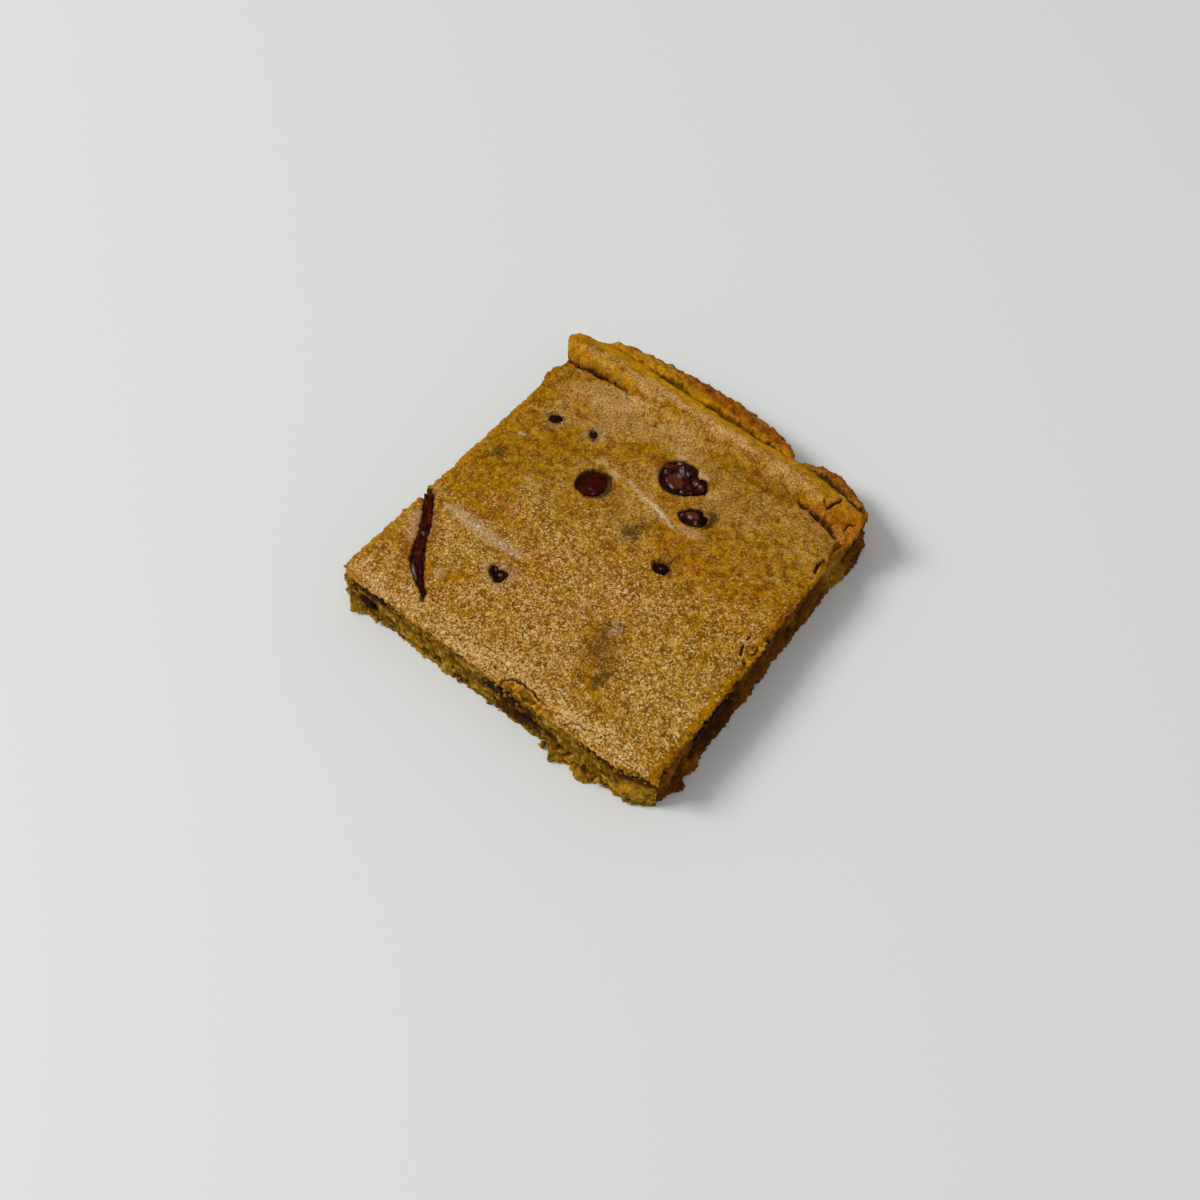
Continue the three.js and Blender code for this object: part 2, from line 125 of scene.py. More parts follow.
class Grain:
    """Smooth and cellular noise in three dimensions, the same on every run."""

    def __init__(self, seed: int) -> None:
        """Draws the noise's directions.

        Args:
            seed: Which of the endless patterns this is.
        """
        rng = np.random.default_rng(seed)
        self._order = np.tile(rng.permutation(256), 2)
        slopes = rng.normal(size=(256, 3))
        self._slopes = slopes / np.linalg.norm(slopes, axis=1, keepdims=True)
        self._seats = rng.random((256, 3))

    def _pick(self, cell: Values) -> Values:
        """One of 256 numbers for each cell of the lattice."""
        x, y, z = (cell & 255).T
        return self._order[self._order[self._order[x] + y] + z]

    def smooth(self, points: Values, size: float | Sequence[float]) -> Values:
        """Soft lumps.

        Args:
            points: Where to read the noise, one row each.
            size: The size of a lump, or its size along each axis.

        Returns:
            About -1 to 1 for each point.
        """
        scaled = points / np.asarray(size, float)
        cell = np.floor(scaled).astype(int)
        inside = scaled - cell
        ease = inside**3 * (inside * (inside * 6.0 - 15.0) + 10.0)
        total = np.zeros(len(points))
        for corner in itertools.product((0, 1), repeat=3):
            step = np.array(corner)
            lean = ((inside - step) * self._slopes[self._pick(cell + step)]).sum(axis=1)
            total += lean * np.prod(np.where(step == 1, ease, 1.0 - ease), axis=1)
        return 1.6 * total

    def layered(self, points: Values, size: float, layers: int) -> Values:
        """Soft lumps with ever finer ones on them, each layer half as large and half as high.

        Args:
            points: Where to read the noise, one row each.
            size: The size of the largest lumps.
            layers: How many layers there are.

        Returns:
            The sum of the layers for each point.
        """
        total = np.zeros(len(points))
        for layer in range(layers):
            part = 0.5**layer
            total += part * self.smooth(points + 17.3 * layer, size * part)
        return total

    def cells(self, points: Values, size: float | Sequence[float]) -> Values:
        """Grains packed side by side.

        Args:
            points: Where to read the noise, one row each.
            size: The size of a grain, or its size along each axis.

        Returns:
            The distance to the nearest grain's middle: near 0 there, about 1 between grains.
        """
        scaled = points / np.asarray(size, float)
        cell = np.floor(scaled).astype(int)
        nearest = np.full(len(points), 9.0)
        for corner in itertools.product((-1, 0, 1), repeat=3):
            near = cell + np.array(corner)
            gap = near + self._seats[self._pick(near)] - scaled
            nearest = np.minimum(nearest, (gap * gap).sum(axis=1))
        return np.sqrt(nearest)


def spots(x: Values, y: Values, z: float | Values = 0.0) -> Values:
    """Stacks coordinates to rows of points."""
    return np.stack([x, y, np.broadcast_to(z, x.shape)], axis=1)


# ---------------- the square's plan


@dataclass(frozen=True)
class LipLobe:
    """One lobe of the outer lip: its ends along the pan edge and how far it leans out."""

    start: float
    end: float
    reach: float
    roundness: float


@dataclass(frozen=True)
class Plan:
    """The square seen from above, and the smooth height of its crust.

    It repeats the named sizes of the solid model, which this script can't read.
    """

    middle: Point2 = (0.093, -4.100)
    left: float = -44.6
    right: float = 45.8
    front: float = -45.5
    thickness: float = 12.4
    corner_round: float = 1.8
    right_corner_in: float = 1.9
    approach: float = 6.0
    valley_y: float = 36.6
    crest_y: float = 43.3
    crevice_y: float = 48.9
    crest_rise: float = 1.9
    valley_depth: float = 0.7
    shoulder_fall: float = 2.3
    crevice_depth: float = 1.2
    lip_shelf: float = 1.3
    lip_rise: float = -0.6
    lip_drop: float = 3.1
    least_reach: float = 1.0
    undercut: float = 4.2
    ridge_end: tuple[float, float, float] = (45.6, 7.2, 4.1)
    lobes: tuple[LipLobe, ...] = (
        LipLobe(-41.6, 20.0, 7.8, 0.35),
        LipLobe(23.0, 45.0, 4.7, 0.45),
    )

    def valley(self, x: Values) -> Values:
        """The bottom of the soft valley between the flat crust and the ridge."""
        return self.valley_y + 3.4 * ramp(x, -14.0, -28.0) - 2.8 * ramp(x, 30.0, 44.0)

    def crest(self, x: Values) -> Values:
        """The top of the rolled ridge."""
        return self.crest_y + 1.2 * ramp(x, -10.0, -30.0) - 2.2 * ramp(x, 15.0, 44.0)

    def shoulder(self, x: Values) -> Values:
        """The line that the lip reaches out from: the ridge's own shoulder."""
        inward = 0.8 * ramp(x, -5.0, 20.0) + 4.6 * ramp(x, 22.0, 48.0) ** 1.3
        return self.crevice_y + 1.1 * ramp(x, -18.0, -36.0) - inward

    def crevice(self, x: Values) -> Values:
        """The crevice behind the ridge, which runs out over the shoulder towards the left."""
        return self.shoulder(x) + (1.5 * ramp(x, 2.0, -15.0) + 0.3) * self.lip_share(x)

    def lip_reach(self, x: Values) -> Values:
        """How far the outer lip reaches past the crevice."""
        arches = [lobe.reach * arch(x, lobe.start, lobe.end, lobe.roundness) for lobe in self.lobes]
        return self.least_reach + np.maximum.reduce(arches)

    def lip_share(self, x: Values) -> Values:
        """How much of the lip there is, from 0 at its gap and ends to 1."""
        return np.clip((self.lip_reach(x) - self.least_reach) / self.lobes[0].reach, 0.0, 1.0)

    def outer_line(self, x: Values) -> Values:
        """The outermost line of the pan edge."""
        return self.shoulder(x) + self.lip_reach(x)

    def front_line(self, x: Values) -> Values:
        """The front knife cut.

        Args:
            x: Across the square.

        Returns:
            Its y.
        """
        corner = self.corner_round * ramp(x, self.left + 3.0, self.left) ** 2
        broken_back = self.right_corner_in * ramp(x, 36.5, 41.0)
        return self.front - 0.4 * ramp(x, -20.0, 30.0) + corner + broken_back

    def left_shift(self, y: Values) -> Values:
        """How far the left edge stands in or out: the end of the ridge stands out."""
        centre, half, reach = self.ridge_end
        return -1.5 * hump(y, 33.5, 6.5) - reach * hump(y, centre, half)

    def right_shift(self, y: Values) -> Values:
        """How far the right edge stands in or out: it draws in round the corner of the pan."""
        back_half = -0.7 * ramp(y, -4.0, 4.0) * ramp(y, 38.0, 30.0)
        return 1.3 * hump(y, -44.0, 3.6) + back_half - 1.6 * ramp(y, 38.0, 48.0) - 0.7 * hump(y, 30.0, 5.0)

    def place(self, u: Values, v: Values) -> tuple[Values, Values]:
        """Lays the unit square over the plan.

        Args:
            u: From 0 at the left edge to 1 at the right.
            v: From 0 at the front cut to 1 at the pan edge.

        Returns:
            x and y.
        """
        straight = blend(self.left, self.right, u)
        y = blend(self.front_line(straight), self.outer_line(straight), v)
        x = straight + self.left_shift(y) * (1.0 - u) ** 8 + self.right_shift(y) * u**8
        return x, y

    def rim_height(self, x: Values, y: Values) -> Values:
        """Height of the valley, ridge, crevice and lip over the flat crust.

        Args:
            x: Across the square.
            y: Along it.

        Returns:
            The height.
        """
        valley, crest, crevice = self.valley(x), self.crest(x), self.crevice(x)
        share = self.lip_share(x)
        leftward = 1.0 - 0.7 * ramp(x, -12.0, -28.0)
        crevice_height = -self.crevice_depth * blend(0.4, 1.0, share) * leftward
        shelf = crevice + self.lip_shelf * blend(0.3, 1.0, share)
        shelf_height = blend(crevice_height - 0.4, self.lip_rise, share)
        outer = self.outer_line(x)
        down_to_valley = -self.valley_depth * ramp(y, valley - self.approach, valley)
        up_to_crest = blend(-self.valley_depth, self.crest_rise, ramp(y, valley, crest))
        shoulder = np.clip((y - crest) / (crevice - crest), 0.0, 1.0) ** self.shoulder_fall
        over_shoulder = blend(self.crest_rise, crevice_height, shoulder)
        up_to_shelf = blend(crevice_height, shelf_height, np.clip((y - crevice) / (shelf - crevice), 0, 1))
        down_lip = blend(shelf_height, -self.lip_drop, np.clip((y - shelf) / (outer - shelf), 0, 1) ** 1.6)
        return np.select(
            [y <= valley, y <= crest, y <= crevice, y <= shelf],
            [down_to_valley, up_to_crest, over_shoulder, up_to_shelf],
            down_lip,
        )

    def crust_height(self, x: Values, y: Values) -> Values:
        """Smooth height of the crust above the base, without its grain, cracks and pockets."""
        sway = 0.18 * np.sin(x * 0.09 + 0.6) * np.sin(y * 0.07 - 0.4)
        return self.thickness + sway + self.rim_height(x, y)


# ---------------- outlines and traces


@dataclass(frozen=True)
class Outline:
    """A closed ragged outline round a middle, through a few corners, seen from above."""

    centre: Point2
    corners: tuple[Point2, ...]
    raggedness: float = 0.06
    seed: int = 1

    @classmethod
    def oval(cls, centre: Point2, size: Point2, turn: float, raggedness: float, seed: int) -> "Outline":
        """An oval outline.

        Args:
            centre: Its middle.
            size: Its length and width.
            turn: How far its length is turned from +X, in degrees.
            raggedness: How uneven it is, as a share of its radius.
            seed: Which unevenness it has.

        Returns:
            The outline.
        """
        angle = math.radians(turn)
        corners = []
        for step in range(16):
            t = math.tau * step / 16
            along, across = size[0] / 2 * math.cos(t), size[1] / 2 * math.sin(t)
            corners.append(
                (
                    centre[0] + along * math.cos(angle) - across * math.sin(angle),
                    centre[1] + along * math.sin(angle) + across * math.cos(angle),
                )
            )
        return cls(centre, tuple(corners), raggedness, seed)

    def reach(self, angle: Values) -> Values:
        """The outline's radius in each direction.

        Args:
            angle: The directions, in radians from +X.

        Returns:
            The radii.
        """
        rays = np.array(self.corners) - np.array(self.centre)
        turns = np.arctan2(rays[:, 1], rays[:, 0])
        order = np.argsort(turns)
        radii = np.interp(angle, turns[order], np.hypot(*rays.T)[order], period=math.tau)
        round_trip = spots(3.0 * np.cos(angle), 3.0 * np.sin(angle), 5.0 * self.seed)
        return radii * (1.0 + self.raggedness * Grain(self.seed).layered(round_trip, 1.3, 2))

    def outside(self, x: Values, y: Values) -> Values:
        """Distance outside the outline, along the ray from its middle; below 0 inside."""
        dx, dy = x - self.centre[0], y - self.centre[1]
        return np.hypot(dx, dy) - self.reach(np.arctan2(dy, dx))


@dataclass(frozen=True)
class Trace:
    """A line drawn over the crust: a crack, a crease, a smear or a streak."""

    path: tuple[Point2, ...]
    half_width: float
    strength: float = 1.0
    deep: float = 0.0
    soft: float = 0.35

    def cover(self, x: Values, y: Values) -> Values:
        """How far each point is covered: 1 on the line, easing to 0 at its edge and tips.

        Args:
            x: Across the square.
            y: Along it.

        Returns:
            The cover.
        """
        nearest = np.full(x.shape, 99.0)
        along = np.zeros(x.shape)
        legs = list(zip(self.path, self.path[1:]))
        for number, ((x0, y0), (x1, y1)) in enumerate(legs):
            dx, dy = x1 - x0, y1 - y0
            t = np.clip(((x - x0) * dx + (y - y0) * dy) / (dx * dx + dy * dy), 0.0, 1.0)
            distance = np.hypot(x - x0 - t * dx, y - y0 - t * dy)
            closer = distance < nearest
            nearest = np.where(closer, distance, nearest)
            along = np.where(closer, (number + t) / len(legs), along)
        width = self.half_width * (0.3 + 0.7 * arch(along, 0.0, 1.0, 0.6))
        return ramp(nearest, width * (1.0 + self.soft), width * (1.0 - self.soft) * 0.6)


def cover_all(traces: Sequence[Trace], x: Values, y: Values) -> Values:
    """The strongest cover that any of the traces gives each point, times its strength.

    Args:
        traces: The traces.
        x: Across the square.
        y: Along it.

    Returns:
        The cover.
    """
    total = np.zeros(x.shape)
    for trace in traces:
        total = np.maximum(total, trace.strength * trace.cover(x, y))
    return total


def places(*numbers: float) -> tuple[Point2, ...]:
    """Takes numbers two by two, as x and y."""
    return tuple(zip(numbers[::2], numbers[1::2]))


def washes(*rows: Sequence[float], soft: float = 0.9) -> tuple[Trace, ...]:
    """Soft traces, from rows of a half width, a strength and then the places along the line."""
    return tuple(Trace(places(*row[2:]), row[0], row[1], soft=soft) for row in rows)


def cuts(*rows: Sequence[float], soft: float = 0.35) -> tuple[Trace, ...]:
    """Traces cut in the crust, from rows of a half width, a strength, a depth and then the places."""
    return tuple(Trace(places(*row[3:]), row[0], row[1], row[2], soft) for row in rows)


CRACKS = cuts(
    (0.5, 0.5, 0.5, -45.6, 40.6, -43.6, 40.2, -41, 40.2),
    (0.72, 1, 1.6, -42.4, 39.8, -38.4, 40.9, -34.4, 40.9, -31, 40.9),
    (0.45, 0.9, 1.1, -36.4, 40.9, -33, 40.9, -30.4, 41, -26, 40.8),
    (0.26, 0.35, 0.3, -26, 40.6, -25, 39.2, -23.7, 39.6), (0.34, 0.4, 0.3, -18, 38.1, -16.8, 36.2),
    (0.45, 0.4, 0.4, -16, 35.3, -13.6, 35.6, -11, 36.1),
) + cuts(
    (0.6, 0.32, 0.35, 14.4, 39.5, 16.4, 38.9, 19.2, 37.9),
    soft=0.6,
) + cuts(
    (0.7, 0.2, 0.3, 19.8, 37.4, 23.8, 36.7, 28.3, 37.1),
    soft=0.7,
) + cuts(
    (0.5, 0.6, 0.6, 28.7, 38, 30.7, 37.1, 32.2, 37.4),
    (0.7, 0.72, 1.2, 32.6, 37, 36.3, 36.6, 39.3, 35.6, 42, 34),
    soft=0.6,
) + cuts(
    (0.42, 1, 1.2, 37.5, 43.6, 37.2, 41.3, 36.3, 39.9, 35.6, 39), (0.24, 0.8, 0.5, 34.1, 40.4, 35, 39.5),
    (0.24, 0.8, 0.6, 44, 39.3, 42.7, 38, 42.7, 36.6), (0.5, 1, 1.5, 43.5, 26.7, 43, 24.7, 43.3, 21.9),
    (0.22, 1, 0.8, 41.6, -1.6, 41.4, -3.2), (0.3, 1, 1, 41.8, -4.4, 42.5, -7.3),
    (0.3, 1, 0.9, 4.7, -44.9, 6.3, -43.3, 9.5, -42.6, 12.2, -42.8, 14.6, -43.8),
    (0.22, 0.6, 0.4, 1, -43.3, 4.1, -43),
    (0.16, 0.6, 0.5, 21.9, -45.6, 23.5, -43.7, 25, -42.8, 27.2, -42.9),
)

CREVICES = washes(
    (0.8, 0.4, -36, 51.4, -28, 51.6, -21, 50.9), (1.25, 1, -22, 50.9, -17, 50.6, -11, 50.1),
    (1.05, 0.9, -11, 50.2, -4.6, 49.9, -0.7, 49.6, 6.4, 49.2),
    (0.85, 0.75, 6.4, 49.2, 11, 49, 16.8, 48.6),
    (1.4, 0.95, 26.2, 48.6, 30.4, 48.2, 33.8, 47.6, 37.4, 46.3),
    (1.1, 0.85, 36.6, 46.6, 41, 45.5, 43.7, 44.4),
    soft=0.6,
)

BROWNED = washes(
    (1.2, 0.6, -47.4, 40.5, -41.4, 40.2), (1.2, 0.5, 45, 36.6, 44.8, 42.1),
    (1.4, 0.6, 31.8, 37.4, 36.8, 36.9, 42.4, 34.6), (0.35, 0.4, 40.6, 4.7, 42.2, 4.2),
    (1, 0.35, 5, -44.6, 9.5, -43.2, 14.6, -44.4), (2.2, 0.16, -36, 17.5, -28, 16.5, -20, 17),
    soft=0.35,
) + cuts(
    (0.95, 0.9, 1, 43.2, 34, 43.8, 30.7, 44.5, 27.4), (0.55, 0.7, 0.4, 43.6, 26.1, 45.6, 26.5),
    (0.65, 0.8, 0.5, 44.9, 12.4, 44.7, 7, 45.1, 2.2), (1.1, 0.55, 0.25, 43.6, -2.6, 45, -4.2, 44.8, -8.8),
) + washes(
    (1.1, 0.75, -29.4, -6, -26.5, -7.4, -22.6, -8.9), (2.4, 0.25, -7, 9, -2, 7),
    (2.2, 0.3, 12, 37.4, 20, 37.2, 29, 37.4), (1.2, 0.3, 4, -44.4, 17, -44.6),
    (3.4, 0.5, 32, 37.4, 38, 37, 45, 37.6), (2.6, 0.6, 44.6, 30, 45.4, 44, 38, 48),
    (4, 0.15, 7, 12, 14, 7.6, 22, 5), (1.3, 0.5, -43, 40, -38, 41, -30, 41.3),
    (1.3, 0.4, -10, 26.3, -5, 26.9, -2.4, 28), (1.6, 0.65, -4.6, 28.6, -4, 26.6, -3.2, 24, -1.2, 21),
    (6.5, 0.2, 14, -20, 16.5, -27, 22, -32), (3.6, 0.16, 22.5, -22, 24, -29),
    (1.6, 0.5, -5.6, 27.4, -4.4, 25.6),
    (2.6, 0.5, -43.6, -18.4, -40, -22.4, -36.6, -27.2, -33.6, -31.4, -30, -34.6, -25.6, -37.4),
)

PALE = washes(
    (1.5, 0.46, -38, -16.2, -31, -16.4, -24, -17.2, -13, -17),
    (0.9, 0.35, -17.6, 16.6, -16, 18.2, -14.6, 17.4), (0.8, 0.35, -12.8, 17.2, -11.2, 16.6, -9.6, 15.4),
    (0.6, 0.5, 15.6, -20.4, 16.6, -21.6), (0.6, 0.4, 19.6, -30.4, 20.8, -29.6),
    (0.9, 0.45, -35, 23.6, -33.6, 24), (0.8, 0.4, -24.6, 24.8, -23.2, 25),
) + cuts(
    (0.5, 0.55, -0.05, -8, 17.2, -4, 16, 0, 14.4),
    (0.62, 0.95, -0.1, -1, 15.2, 2, 14.7, 4.2, 14, 7, 13.2, 10.3, 11.6),
    (0.6, 0.6, -0.08, -38.7, 12.2, -36.3, 12.7), (0.8, 0.55, -0.1, 25, -43.6, 27, -43.4),
    (0.7, 0.6, -0.3, -25.9, 39.9, -25.2, 38.9), (0.6, 0.35, -0.6, 36, 45.4, 37.2, 44.6, 38.4, 44.9),
    (0.5, 0.2, -0.3, 35, 40.6, 35.8, 41.4),
) + washes(
    (1, 0.3, 10, 13.2, 17, 13.6), (1.5, 0.5, -41.8, -21, -39, -26, -36.6, -29.2),
    (0.9, 0.5, -31.6, -34.4, -29.4, -36.6), (1.1, 0.45, 16.2, -18, 17.6, -19),
    soft=0.8,
) + washes(
    (0.9, 0.5, -27.9, 2.1, -26.2, 2.4), (0.45, 0.6, -27.6, 9, -27.1, 9.1),
    (0.5, 0.6, -4.8, 24.6, -3.2, 22.8, -1.2, 20.6), (0.9, 0.55, -2.6, 30.6, 0.2, 31.4),
    (0.8, 0.55, 4.8, 30.1, 6.4, 28.9, 8.4, 29.2), (0.7, 0.4, 10.8, 25.9, 11.4, 24.6),
    (0.7, 0.5, -15.4, -21.8, -13.4, -21.4), (1.3, 0.3, -27, -31, -24, -33),
    soft=0.35,
)

SHADED = washes(
    (2.9, 1.2, -38.9, 4.9, -37.6, 4.4), (1.7, 1.5, -39.6, 5.4, -38, 4.8), (3.4, 1.15, 1.4, 5.3, 4.4, 4.3),
    (1.8, 0.3, -6, 8.6, -2, 7.4, 2, 6), (2.4, 0.8, 20.6, -29.4, 23, -30.4),
    (1.8, 0.3, -20, -0.8, -18.2, -1.8), (1.5, 0.85, 13.6, -18, 14.6, -19.4),
    (1.4, 0.55, 16, -17, 18.6, -18.8), (3.6, 0.7, 14.4, -20.6, 17.4, -25.2, 20.6, -29),
    (2.3, 1.1, 20.4, -32.2, 22.4, -31.6), (4.4, 0.1, 14, 28, 24, 28.6), (1.4, 0.5, 12.6, 4.4, 16.6, 3.6),
    (1, 0.45, 16.8, 1.2, 17, 2.6), (1.8, 0.5, -36.8, 22.6, -34.4, 19.6),
    (1.2, 0.5, -24.9, 22.6, -22.2, 21.8), (1, 0.35, -24.2, -10.2, -23.2, -10.6),
    (2.1, 0.3, -16.6, -22.6, -12.6, -26), (0.8, 0.4, -35.4, -18, -34.4, -18.4),
    (2.4, 0.26, 6, 37.4, 16, 36.8, 27, 37.4), (1.2, 0.5, 10, 22.4, 12.4, 21.6),
    (1.3, 0.9, -10.2, 13, -9.2, 10.4, -10, 8.4),
) + washes(
    (1.3, 0.9, 13.9, 22.4, 16.2, 20.6, 16.4, 17),
    soft=0.8,
)

FLOURY = washes(
    (4, 0.24, -38, 35.4, -27, 36.8, -19, 37.4), (4.2, 0.26, -25, 37.4, -21, 36.4),
    (4.6, 0.17, -38, 31, -24, 31, -13, 32.6), (4.2, 0.26, -12, 36, -4, 35.4, 2, 33.4),
    (1.9, 0.3, -42, 45.4, -22, 45.2, 0, 44.4, 24, 42.8), (2.2, 0.14, -16, 43.8, 0, 43.4, 12, 42.6),
    (2.2, 0.2, 20, 41.6, 27, 41.2, 33, 39.8), (3.4, 0.2, -42, -43, -24, -42.2, -6, -42.4, 24, -40.8),
    (2.6, 0.2, 20, -42, 34, -43, 46, -43.4), (4.4, 0.16, -10, 22, -3, 16, 6, 12.6),
    (6, 0.12, -27, 3, -18, 0), (9, 0.08, -4, -24, 6, -33, -8, -36), (10, 0.07, 30, -14, 34, -34),
    (8, 0.06, -12, -10, 10, -12, 24, -10), (4, 0.08, -27, 2, -22, -3, -16, -2),
    (4, 0.1, -34, -22, -24, -24), (2, 0.06, 26, 14, 40, 15.6),
)

AMBER = washes(
    (3.6, 0.22, -44.6, -12, -44.6, 20, -46, 38), (9, 0.3, -40, -9, -35, 3, -30, 12, -20, 20),
    (6, 0.2, -42, 15, -28, 14), (5.5, 0.12, -26, -4, -14, 2, -10, 16, -2, 18),
    (2.2, 0.2, -40, -10, -31, -11, -20, -11.4), (2.4, 0.36, -16, 26.2, -8, 26.6, -2, 27.4),
    (4.6, 0.16, -22, 20, -13, 24, -5, 27), (5, 0.5, -44.6, 20, -44.6, 32, -44, 40),
    (3, 0.26, -31.6, 27.4, -28.4, 29.4), (2.2, 0.14, -39, 37.6, -36, 38.4),
    (6, 0.26, 10, 10, 16, 6, 26, 9, 46, 10), (5, 0.2, 18, 18, 30, 19, 46, 18),
    (3, 0.3, 5, 37, 18, 36.8, 31, 37.6), (1.8, 0.5, -46, 49.6, -20, 49, 10, 47.6, 24, 46.6),
    (1, 0.2, -30, 42.8, -18, 42.2, -4, 41, 8, 40.6), (1.9, 0.38, -46, 42.6, -36, 42.8, -24, 42.6),
    (1.6, 0.4, -46, 47.6, -36, 48, -22, 47.6), (1.3, 0.36, 10, 44.6, 22, 44, 34, 42.8),
    (1.5, 0.24, -41, -30.4, -30, -31, -19, -30.4), (2.4, 0.18, -43.4, -30, -43.4, -42),
    (3.6, 0.28, 34, 38, 40, 41, 45, 44), (1.6, 0.16, 44.8, -4, 45, 34),
    (3.4, 0.16, 12, -22, 18, -28, 23, -36), (3.4, 0.16, 0, 22, 6, 17.6, 9, 10, 2, 6),
    (4, 0.05, -10, -4, 4, -2, 18, -6),
)

GOLDEN = washes(
    (2.6, 0.9, -48.4, 41, -47.6, 45.6, -47.4, 50.4),
    (2.7, 0.95, -46, 51.4, -32, 52.6, -16, 52, 6, 50.4, 18, 49),
    (1.8, 0.4, -46, 43, -34, 43.4, -26, 42.8), (0.6, 0.4, 35, -45.9, 45.8, -45.6),
    (0.9, 0.6, -44.4, -40, -44.6, 22), (3, 0.5, 34, 40, 40, 42, 44, 43),
) + washes(
    (2.3, 1, -46, 49.4, -28, 48.8, -8, 47.6, 14, 46.6, 24, 45.6),
    (1.6, 0.7, 24, 45.8, 32, 44.6, 38, 43.4),
    soft=0.8,
) + washes(
    (1.1, 0.7, 5.6, -44.8, 10.2, -44, 14.6, -44.7),
    soft=0.6,
)

ROSY = washes(
    (11, 0.3, -10, -32, 2, -20, 12, -6), (6, 0.25, -44, -36, -28, -42),
    (9, -0.35, 30, -38, 36, -20, 36, -2), (10, -0.45, -42, -4, -30, 8, -18, 16),
    (4, -0.4, -20, 22, -10, 26, -4, 28), (5, -0.4, 22, 19, 34, 19, 45, 17),
    (4.4, 0.3, 10, 10, 24, 8, 44, 9), (4, -0.4, -17, 1, -14, -4), (4.4, 0.35, -38, 32, -28, 33),
    (3.6, 0.25, -26, 37, -19, 36), (2.4, 0.4, -20, 43.5, 0, 43, 20, 42), (4, 0.4, 34, 37, 44, 38, 44, 46),
    (2.6, -0.3, 12, 36.6, 28, 37), (2.4, 0.15, -30, -7, -22, -9), (4.4, -0.3, -30, -20, -20, -23),
)

# Painted shadow in the openings round the chips, where the crust stands over their sunk rims, and a darker
# melted band along the large chip's left side.
SHADOWS_AND_DARK_RIMS = washes(
    (0.62, 1, -15.8, 14.6, -17.2, 12.8, -17.6, 10.4, -16.9, 8, -15.2, 6.8),
    (0.6, 1, -16.4, 14.4, -13.8, 15.3, -11.2, 14.9, -9.6, 13.2),
    (0.4, 0.8, 9.6, 14.9, 12.4, 14.7, 14.6, 15),
    (0.42, 0.7, -2.6, 24, -1, 21.4, 1.4, 19.9, 4.6, 20.6, 8.4, 22.8),
    (0.4, 0.8, 10.4, 24.6, 9.4, 27, 7.8, 28.6), (0.55, 0.8, -22.4, 22.4, -21.8, 21.6),
    (0.4, 0.6, -16.9, -23.9, -15.2, -25.6, -13.2, -26.3), (0.25, 0.7, -3.6, 28.6, -2.8, 29.6),
    soft=0.35,
) + washes(
    (0.8, 0.75, -9.6, 13, -9.6, 10.6, -10.4, 8.4, -12.2, 7.1),
    (1.2, 0.5, -4.4, 28.4, -3.7, 26.4, -3, 24.2, -1.4, 21.4),
    (0.7, 0.75, -11.4, 14.2, -9.6, 13, -8.8, 11.6),
    (0.8, 0.8, 13.6, 21, 15.4, 20.6, 16.2, 18.4, 15.6, 15.6),
)

SPECKS = (
    (12, 1.5, 0.4), (12.7, 2.9, 0.3), (15.4, 3.7, 0.42), (16.6, 3.1, 0.3), (16.1, -0.2, 0.35),
    (14.3, -0.6, 0.4), (5.4, 11.4, 0.42), (30, 10.8, 0.32), (26.4, 8.5, 0.3), (28, 6.8, 0.26),
    (33.6, -15.5, 0.3), (19.6, -17.3, 0.34), (0.1, 39.2, 0.28), (23.3, 41.3, 0.34), (10.9, 7.5, 0.3),
    (33.4, -35, 0.3), (8.5, 0.3, 0.28), (-27.1, -34.2, 0.28), (-22.4, 21.8, 0.4), (-36.3, 22.6, 0.34),
    (-32.2, 21, 0.3), (-35.3, 20.2, 0.3), (-33, 23.3, 0.28), (-36.9, 21.2, 0.24), (-24.8, 25.2, 0.3),
    (-22, 24.9, 0.26), (-21.4, 22.9, 0.26), (-25.2, 23.2, 0.24), (15.4, -19.2, 0.24), (17.8, -21, 0.24),
    (21.6, -31.4, 0.4), (20.2, -28.6, 0.24), (2.6, 4.4, 0.3), (4.2, 5.6, 0.26),
)


# ---------------- chocolate in the crust


@dataclass(frozen=True)
class Pocket:
    """The hollow in the crust round a piece of chocolate."""

    outline: Outline
    deep: float
    lip: float = 0.15
    wall: float = 0.35

    def drop(self, x: Values, y: Values) -> Values:
        """How far the crust drops here, and below 0 where it swells round the chocolate.

        Args:
            x: Across the square.
            y: Along it.

        Returns:
            The drop.
        """
        outside = self.outline.outside(x, y)
        swell = self.lip * np.exp(-(((outside - 0.75) / 0.6) ** 2))
        return self.deep * ramp(outside, self.wall * 0.6, -self.wall) - swell


@dataclass(frozen=True)
class Chocolate:
    """A piece of chocolate sunk in the crust.

    rise is how far its top stands above the crust at its middle, edge how far its rim lies below
    the crust, sink how far it goes down, lumps and wrinkles how rough it is, and grain the length
    and width of its wrinkles. dull means that it hardly shines, and dusted that a pale ring of
    crust lies round it. dark are the strokes where it is nearly black: partly its own dark
    chocolate and partly painted shade along the rim where it sinks under the crust. ruddy are the
    smooth red strokes, and the last are its whitish strokes: painted glints of light, with a little
    whitish fat film.
    """

    node: str
    outline: Outline
    pocket: Pocket
    rise: float
    edge: float
    sink: float
    lumps: float
    wrinkles: float
    grain: Point2
    grain_turn: float
    fineness: int
    seed: int
    flatness: float = 0.4
    dull: bool = False
    dusted: bool = False
    dark: tuple[Trace, ...] = ()
    ruddy: tuple[Trace, ...] = ()
    glints_and_bloom: tuple[Trace, ...] = ()


